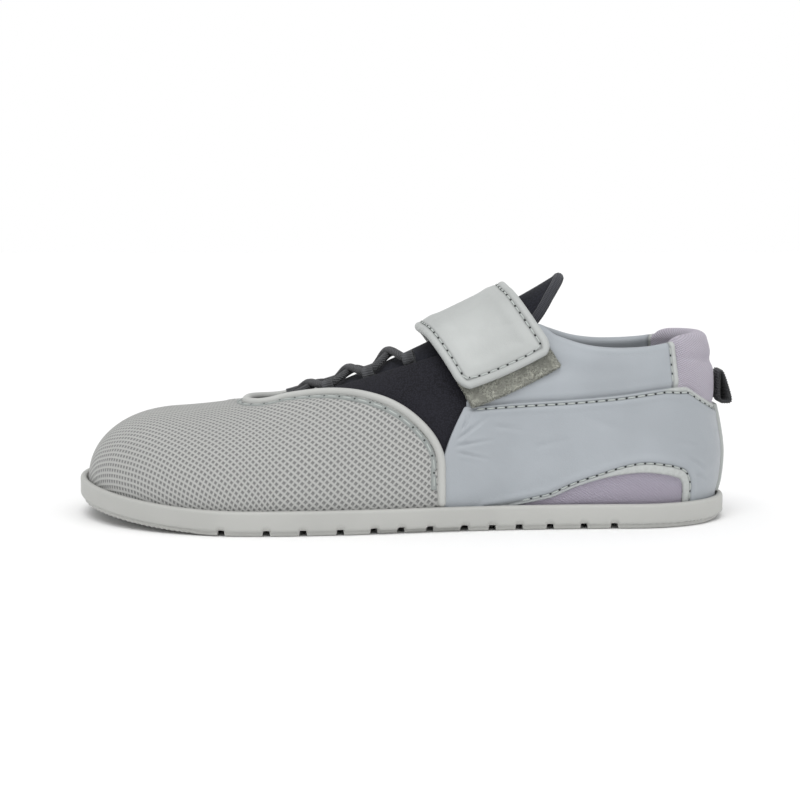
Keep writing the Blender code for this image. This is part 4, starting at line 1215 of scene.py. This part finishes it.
def build_strap():
    over_sheet("strap_leather", axis(-strap_fixed, strap_free, 120, 0.0012),
               shares_across(56), strap_breadth, strap_seat, strap_face, 0.0011, strap_grey,
               "strap_leather", "strap", strap_relief)
    inset_free, inset_fixed = strap_free - strap_rim, -strap_fixed + strap_rim
    girth = np.linspace(inset_fixed, inset_free - 0.0012, 90)
    half = strap_breadth(girth) / 2 - strap_rim
    end = np.linspace(-1, 1, 30)[1:-1]
    g = np.concatenate([girth, inset_free - 0.0012 * end ** 6, girth[::-1],
                        inset_fixed + 0 * end, girth[:1]])
    x = np.concatenate([-half, half[-1] * end, half[::-1], -half[0] * end, -half[:1]])
    seam(strap_middle(g) + x, -g, strap_face(g) - 0.00012, across)
    bar = inset_fixed + 0.006
    seam(strap_middle(bar) + half[0] * np.linspace(-1, 1, 20), -bar,
         strap_face(bar) + 0.00018, across)


def build_pad():
    end = strap_free + pad_show
    width = strap_width - 2 * pad_inset
    low, high = 2 * gap + leather, 2 * gap + leather + 0.80 * pad_thickness
    over_sheet("pile_pad", axis(end - pad_length, end, 30, 0.0008), shares_across(30),
               lambda g: width + 0 * g, lambda g: low, lambda g: high, edge_round,
               pile, "loop_pile", "loop_pad")
    # Fibre loops on the bare stretch and on the pad's three open edges
    rng = np.random.default_rng(7)
    on_face, on_end, on_sides = 1900, 700, 700
    g = np.concatenate([end - rng.random(on_face) * (pad_show + 0.0012),
                        end + 0 * rng.random(on_end), end - rng.random(on_sides) * pad_length])
    s = np.concatenate([rng.random(on_face + on_end) - 0.5,
                        np.where(rng.random(on_sides) < 0.5, -0.5, 0.5)])
    deep = np.concatenate([np.ones(on_face), rng.random(on_end + on_sides)])
    x = strap_middle(g) + s * width
    level = low + (high - low) * deep - 0.00008
    base, normal = stand_off(across, x, -g, level)
    down = unit(stand_off(across, x, -(g + 0.0004), level)[0] - base)
    ahead = unit(stand_off(across, x + 0.0004, -g, level)[0] - base) * np.sign(s)[:, None]
    out = np.concatenate([normal[:on_face], down[on_face:-on_sides], ahead[-on_sides:]])
    out = unit(out + 0.35 * rng.standard_normal(out.shape))
    way = unit(np.cross(out, rng.standard_normal(out.shape)))
    broad = np.cross(out, way) * 0.00005
    tall = (0.00025 + 0.00035 * rng.random(len(g)))[:, None]
    wide = (0.0003 + 0.0004 * rng.random(len(g)))[:, None]
    arc = [base + way * wide * a + out * tall * b
           for a, b in ((-0.5, -0.2), (-0.35, 0.9), (0.35, 1.0), (0.5, -0.1))]
    points = np.stack([p + k * broad for p in arc for k in (-1, 1)], 1)
    faces = [tuple(8 * i + 2 * k + v for v in (0, 1, 3, 2))
             for i in range(len(g)) for k in range(3)]
    add("pile_fibres", points, faces, pile, "loop_pile")


tongue_top, tongue_corner, tongue_end = 0.0524, 0.0620, 0.1510
tongue_level = -wall - 1.5 * gap - tongue_thickness / 2


def tongue_half(x):
    narrow = smooth_step((x - tongue_corner) / (lace_end - tongue_corner))
    corner = np.clip((tongue_corner - x) / (tongue_corner - tongue_top), 0, 1)
    return (0.0195 - 0.0055 * narrow) * (1 - 0.45 * corner ** 2)


def bowed(x, share):
    """The tongue's top edge is round: its corners lie ahead of its middle."""
    return x + 0.0034 * share ** 2 * np.clip(1 - (x - tongue_top) / 0.014, 0, 1)


def build_tongue():
    along = axis(tongue_top, tongue_end, 120, 0.0010)[:, None]
    share = 2 * shares_across(40)
    g = tongue_half(along) * share
    x = bowed(along, share)
    away = np.minimum(tongue_half(along) * (1 - np.abs(share)), along - along[0])
    edge = rounded(away, 0.0014)
    quilt = 0.00035 * np.sin(np.pi * np.clip(away / 0.008, 0, 1))
    half = tongue_thickness / 2
    top, normals = stand_off(across, x, -g, tongue_level + (half - 0.0002) * edge)
    bottom, _ = stand_off(across, x, -g, tongue_level - half * edge - quilt)
    item = closed_sheet("tongue_body", top, bottom, normals, straight(x, g), tongue_cloth_with_shade,
                        "dark_textile", ["tongue"])
    rim_x = np.linspace(tongue_top + 0.0008, 0.1120, 70)
    rim_g = tongue_half(rim_x) - 0.0008
    tip_g = np.linspace(rim_g[0], -rim_g[0], 24)[1:-1]
    side_x = bowed(rim_x, 1.0)
    path_x = np.concatenate([side_x[::-1], bowed(rim_x[0], tip_g / rim_g[0]), side_x])
    path_g = np.concatenate([rim_g[::-1], tip_g, -rim_g])
    path, normals = stand_off(across, path_x, -path_g, tongue_level)
    swept("tongue_rim", path, normals, circle(0.0016, half + 0.00012), edge_tape,
          "dark_textile")


# Elastic cord and its tabs


def lace_half(x):
    return throat_curve(x / sole_length) * throat_half_gap - lace_radius - 3 * gap


def lace_line(sign, turns):
    x = lace_start + (lace_end - lace_start) * turns / lace_rows
    return x, lace_half(x) * sign * np.cos(np.pi * turns)


def build_laces():
    centre, tab, thick = -wall + lace_radius + 1.6 * gap, 0.0036, 0.00035
    turns = np.linspace(0, lace_rows, 27 * lace_rows + 1)
    for number, sign in enumerate((1, -1)):
        x, g = lace_line(sign, turns)
        over = sign * 0.00055 * np.sin(np.pi * turns) ** 3
        path, normals = stand_off(across, x, -g, centre + over)
        swept(f"lace_{number}", path, normals, circle(lace_radius, lace_radius), elastic,
              "dark_webbing", ["elastic_lace"])
    # A folded tab of webbing holds the cord at each turn, from under the throat's edge
    wrap = np.linspace(-0.5 * math.pi, -1.5 * math.pi, 13)
    around_cord = lace_radius + 0.0001 + thick / 2
    corners = [(-0.5, -0.35), (-0.46, -0.5), (0.46, -0.5), (0.5, -0.35)]
    section = np.array(corners + [(-a, -b) for a, b in corners]) * (tab, thick)
    for number, x in enumerate(np.linspace(lace_start, lace_end, lace_rows + 1)):
        half = float(lace_half(x))
        shape = [(half + 0.0055, -wall - 0.00028), (half + 0.0022, -wall - 0.00028)]
        shape += [(half + around_cord * math.cos(t), centre + around_cord * math.sin(t))
                  for t in wrap]
        shape += [(half + 0.0009, centre + 0.0010), (half + 0.00160, centre + 0.00010),
                  (half + 0.00195, centre - 0.0010)]
        corner = np.arange(len(shape))
        girth, level = (np.interp(np.linspace(0, corner[-1], 60), corner, row)
                        for row in zip(*shape))
        for word, side in SIDES:
            behind, path, ahead = (
                stand_off(across, x + share * tab, -side * girth, level)[0]
                for share in (-0.5, 0, 0.5))
            normals = unit(np.cross(np.gradient(path, axis=0), ahead - behind))
            swept(f"lace_tab_{number}_{word}", path, normals, section, webbing,
                  "dark_webbing")


# Heel tape and pull loop


def build_heel():
    half, seam_rim = heel_tape_width / 2, 0.0013
    columns = axis(-half, half, 20, 0.0005)
    low, high = cup_depth + 2 * gap, seam_length(columns) - 2 * gap
    share = np.concatenate([np.linspace(0, 0.97, 52), [0.978, 0.984, 0.989, 0.994, 0.998, 1]])
    length = between(low, high, share)
    away, below = (half - np.abs(columns))[:, None], high[:, None] - length
    body = gap + leather + (heel_tape + gap) * rounded(np.minimum(away, below), edge_round)
    body -= 0.00026 * dent(away - seam_rim, 0.0004) + 0.0009 * (1 - rounded(below, 0.0005))
    sheet("heel_strip", columns, length, body, tape_grey, "strap_leather", ["heel_tape"])
    rise = np.linspace(low + 0.0005, float(high.min()) - 0.0008, 50)
    # Dark threads at both edges, which also paint the shade of the gaps there
    for side in (1, -1):
        seam(side * (half - seam_rim), rise, 2 * gap + leather + heel_tape - 0.00016,
             **HEEL_STITCH)


def loop_ring(turns, inset):
    """The pull loop's outline: its foot stands out, its head closes to the collar."""
    out, up = (np.sign(v) * np.abs(v) ** pull_square for v in (np.cos(turns), np.sin(turns)))
    up = up * (pull_height / 2 - inset)
    depth = pull_depth * (1 - (1 - pull_close) * (0.5 + up / pull_height))
    hole = np.maximum(depth - 2 * pull_band, 0.00002)
    return depth / 2 + out * (depth / 2 - inset), up, hole


def build_pull():
    low = float(seam_length(np.array([0.0]))[0])
    level = gap + 0.6 * leather + 0.86 * collar_puff
    seat_x, _, middle_z = stand_off(around, 0.0, np.array([low + pull_rise]), level)[0][0]
    teeth, fine = 32, 8
    columns = teeth * fine
    raw = np.linspace(0, 2 * math.pi, 2001)
    run = running(np.stack(loop_ring(raw, 0)[:2], 1))
    even = np.interp(np.arange(columns) / columns * run[-1], run, raw)
    tooth = 0.5 - 0.5 * np.cos(2 * math.pi * np.arange(columns) / fine)
    edge = [(-1, 0.50), (-0.985, 0.2), (-0.95, 0.04), (-0.5, 0), (0, 0), (0.5, 0),
            (0.95, 0.04), (0.985, 0.2), (1, 0.50)]
    insets = [(y, share * pull_band + 0.00020 * tooth) for y, share in edge]
    insets += [(y, (1 - share) * pull_band - 0.00010 * tooth) for y, share in edge[::-1]]
    rings = []
    for y, inset in insets:
        out, up, hole = loop_ring(even, inset)
        lean = pull_lean * hole * (0.5 - 0.5 * y) * np.clip((out - pull_band) / hole, 0, 1)
        rings.append(np.column_stack([seat_x - gap / 2 - out + lean,
                                      y * pull_width / 2 - np.sign(y) * 0.00018 * tooth,
                                      middle_z + up]))
    points = np.stack(rings, 1)
    around_loop = (np.arange(columns) / columns * run[-1])[:, None]
    cloth = straight(np.linspace(0, 2 * pull_width, len(insets)), around_loop)
    outward(add("pull_webbing", points, grid_faces(columns, len(insets), True, True), webbing,
                "dark_webbing", ["pull_loop"], cloth))


# Camera, floor and light


def build_floor():
    wide = 3.0
    mesh = bpy.data.meshes.new("floor")
    mesh.from_pydata([(-wide, -wide, 0), (wide, -wide, 0), (wide, wide, 0), (-wide, wide, 0)],
                     [], [(0, 1, 2, 3)])
    mesh.materials.append(Nodes("floor_paper").finish((0.93, 0.93, 0.93, 1.0), 0.95,
                                                      Specular_IOR_Level=0.1))
    floor = placed("floor", mesh)


def build_world():
    """White at the horizon, greyer above it and bright overhead."""
    world = bpy.data.worlds.new("studio")
    bpy.context.scene.world = world
    world.use_nodes = True
    tree = world.node_tree
    back = tree.nodes["Background"]
    way = tree.nodes.new("ShaderNodeTexCoord")
    split = tree.nodes.new("ShaderNodeSeparateXYZ")
    tree.links.new(way.outputs["Generated"], split.inputs[0])
    ramp = tree.nodes.new("ShaderNodeValToRGB")
    tree.links.new(split.outputs[2], ramp.inputs[0])
    ramp.color_ramp.interpolation = "EASE"
    bands = ((0.0, 1.0), (0.14, 1.0), (0.30, 0.62), (0.55, 0.60), (0.80, 0.85), (1.0, 0.95))
    brightness = 1.5
    stops = ramp.color_ramp.elements
    for height, _ in bands[1:-1]:
        stops.new(height)
    for stop, (_, white) in zip(stops, bands):
        stop.color = (white / brightness,) * 3 + (1.0,)
    tree.links.new(ramp.outputs[0], back.inputs[0])
    back.inputs[1].default_value = brightness


def sun(name, direction, power, angle):
    light = bpy.data.lights.new(name, "SUN")
    light.energy, light.angle = power, math.radians(angle)
    placed(name, light).rotation_euler = Vector(direction).to_track_quat("-Z", "Y").to_euler()


def build_camera():
    camera = bpy.data.cameras.new("camera")
    camera.lens, camera.sensor_width = 85, 36
    eye = placed("camera", camera)
    target = Vector((0.0700, 0, 0.0355))
    elevation, distance = math.radians(6.0), 0.585
    eye.location = target + Vector((0, math.cos(elevation), math.sin(elevation))) * distance
    eye.rotation_euler = (target - eye.location).to_track_quat("-Z", "Y").to_euler()
    bpy.context.scene.camera = eye


build_outsole()
build_insole()
build_lining()
build_vamp()
build_quarter()
build_window()
for word, side in SIDES:
    build_collar_front(side, "collar_front_" + word)
build_collar_roll()
build_binding()
build_strap()
build_pad()
build_tongue()
build_laces()
build_heel()
build_pull()
add_seams()
build_floor()
build_world()
sun("key", (-0.15, -0.45, -1.0), 1.1, 35)
sun("fill", (0.5, -0.8, -0.5), 0.35, 60)
bpy.context.scene.view_settings.view_transform = "Standard"
build_camera()
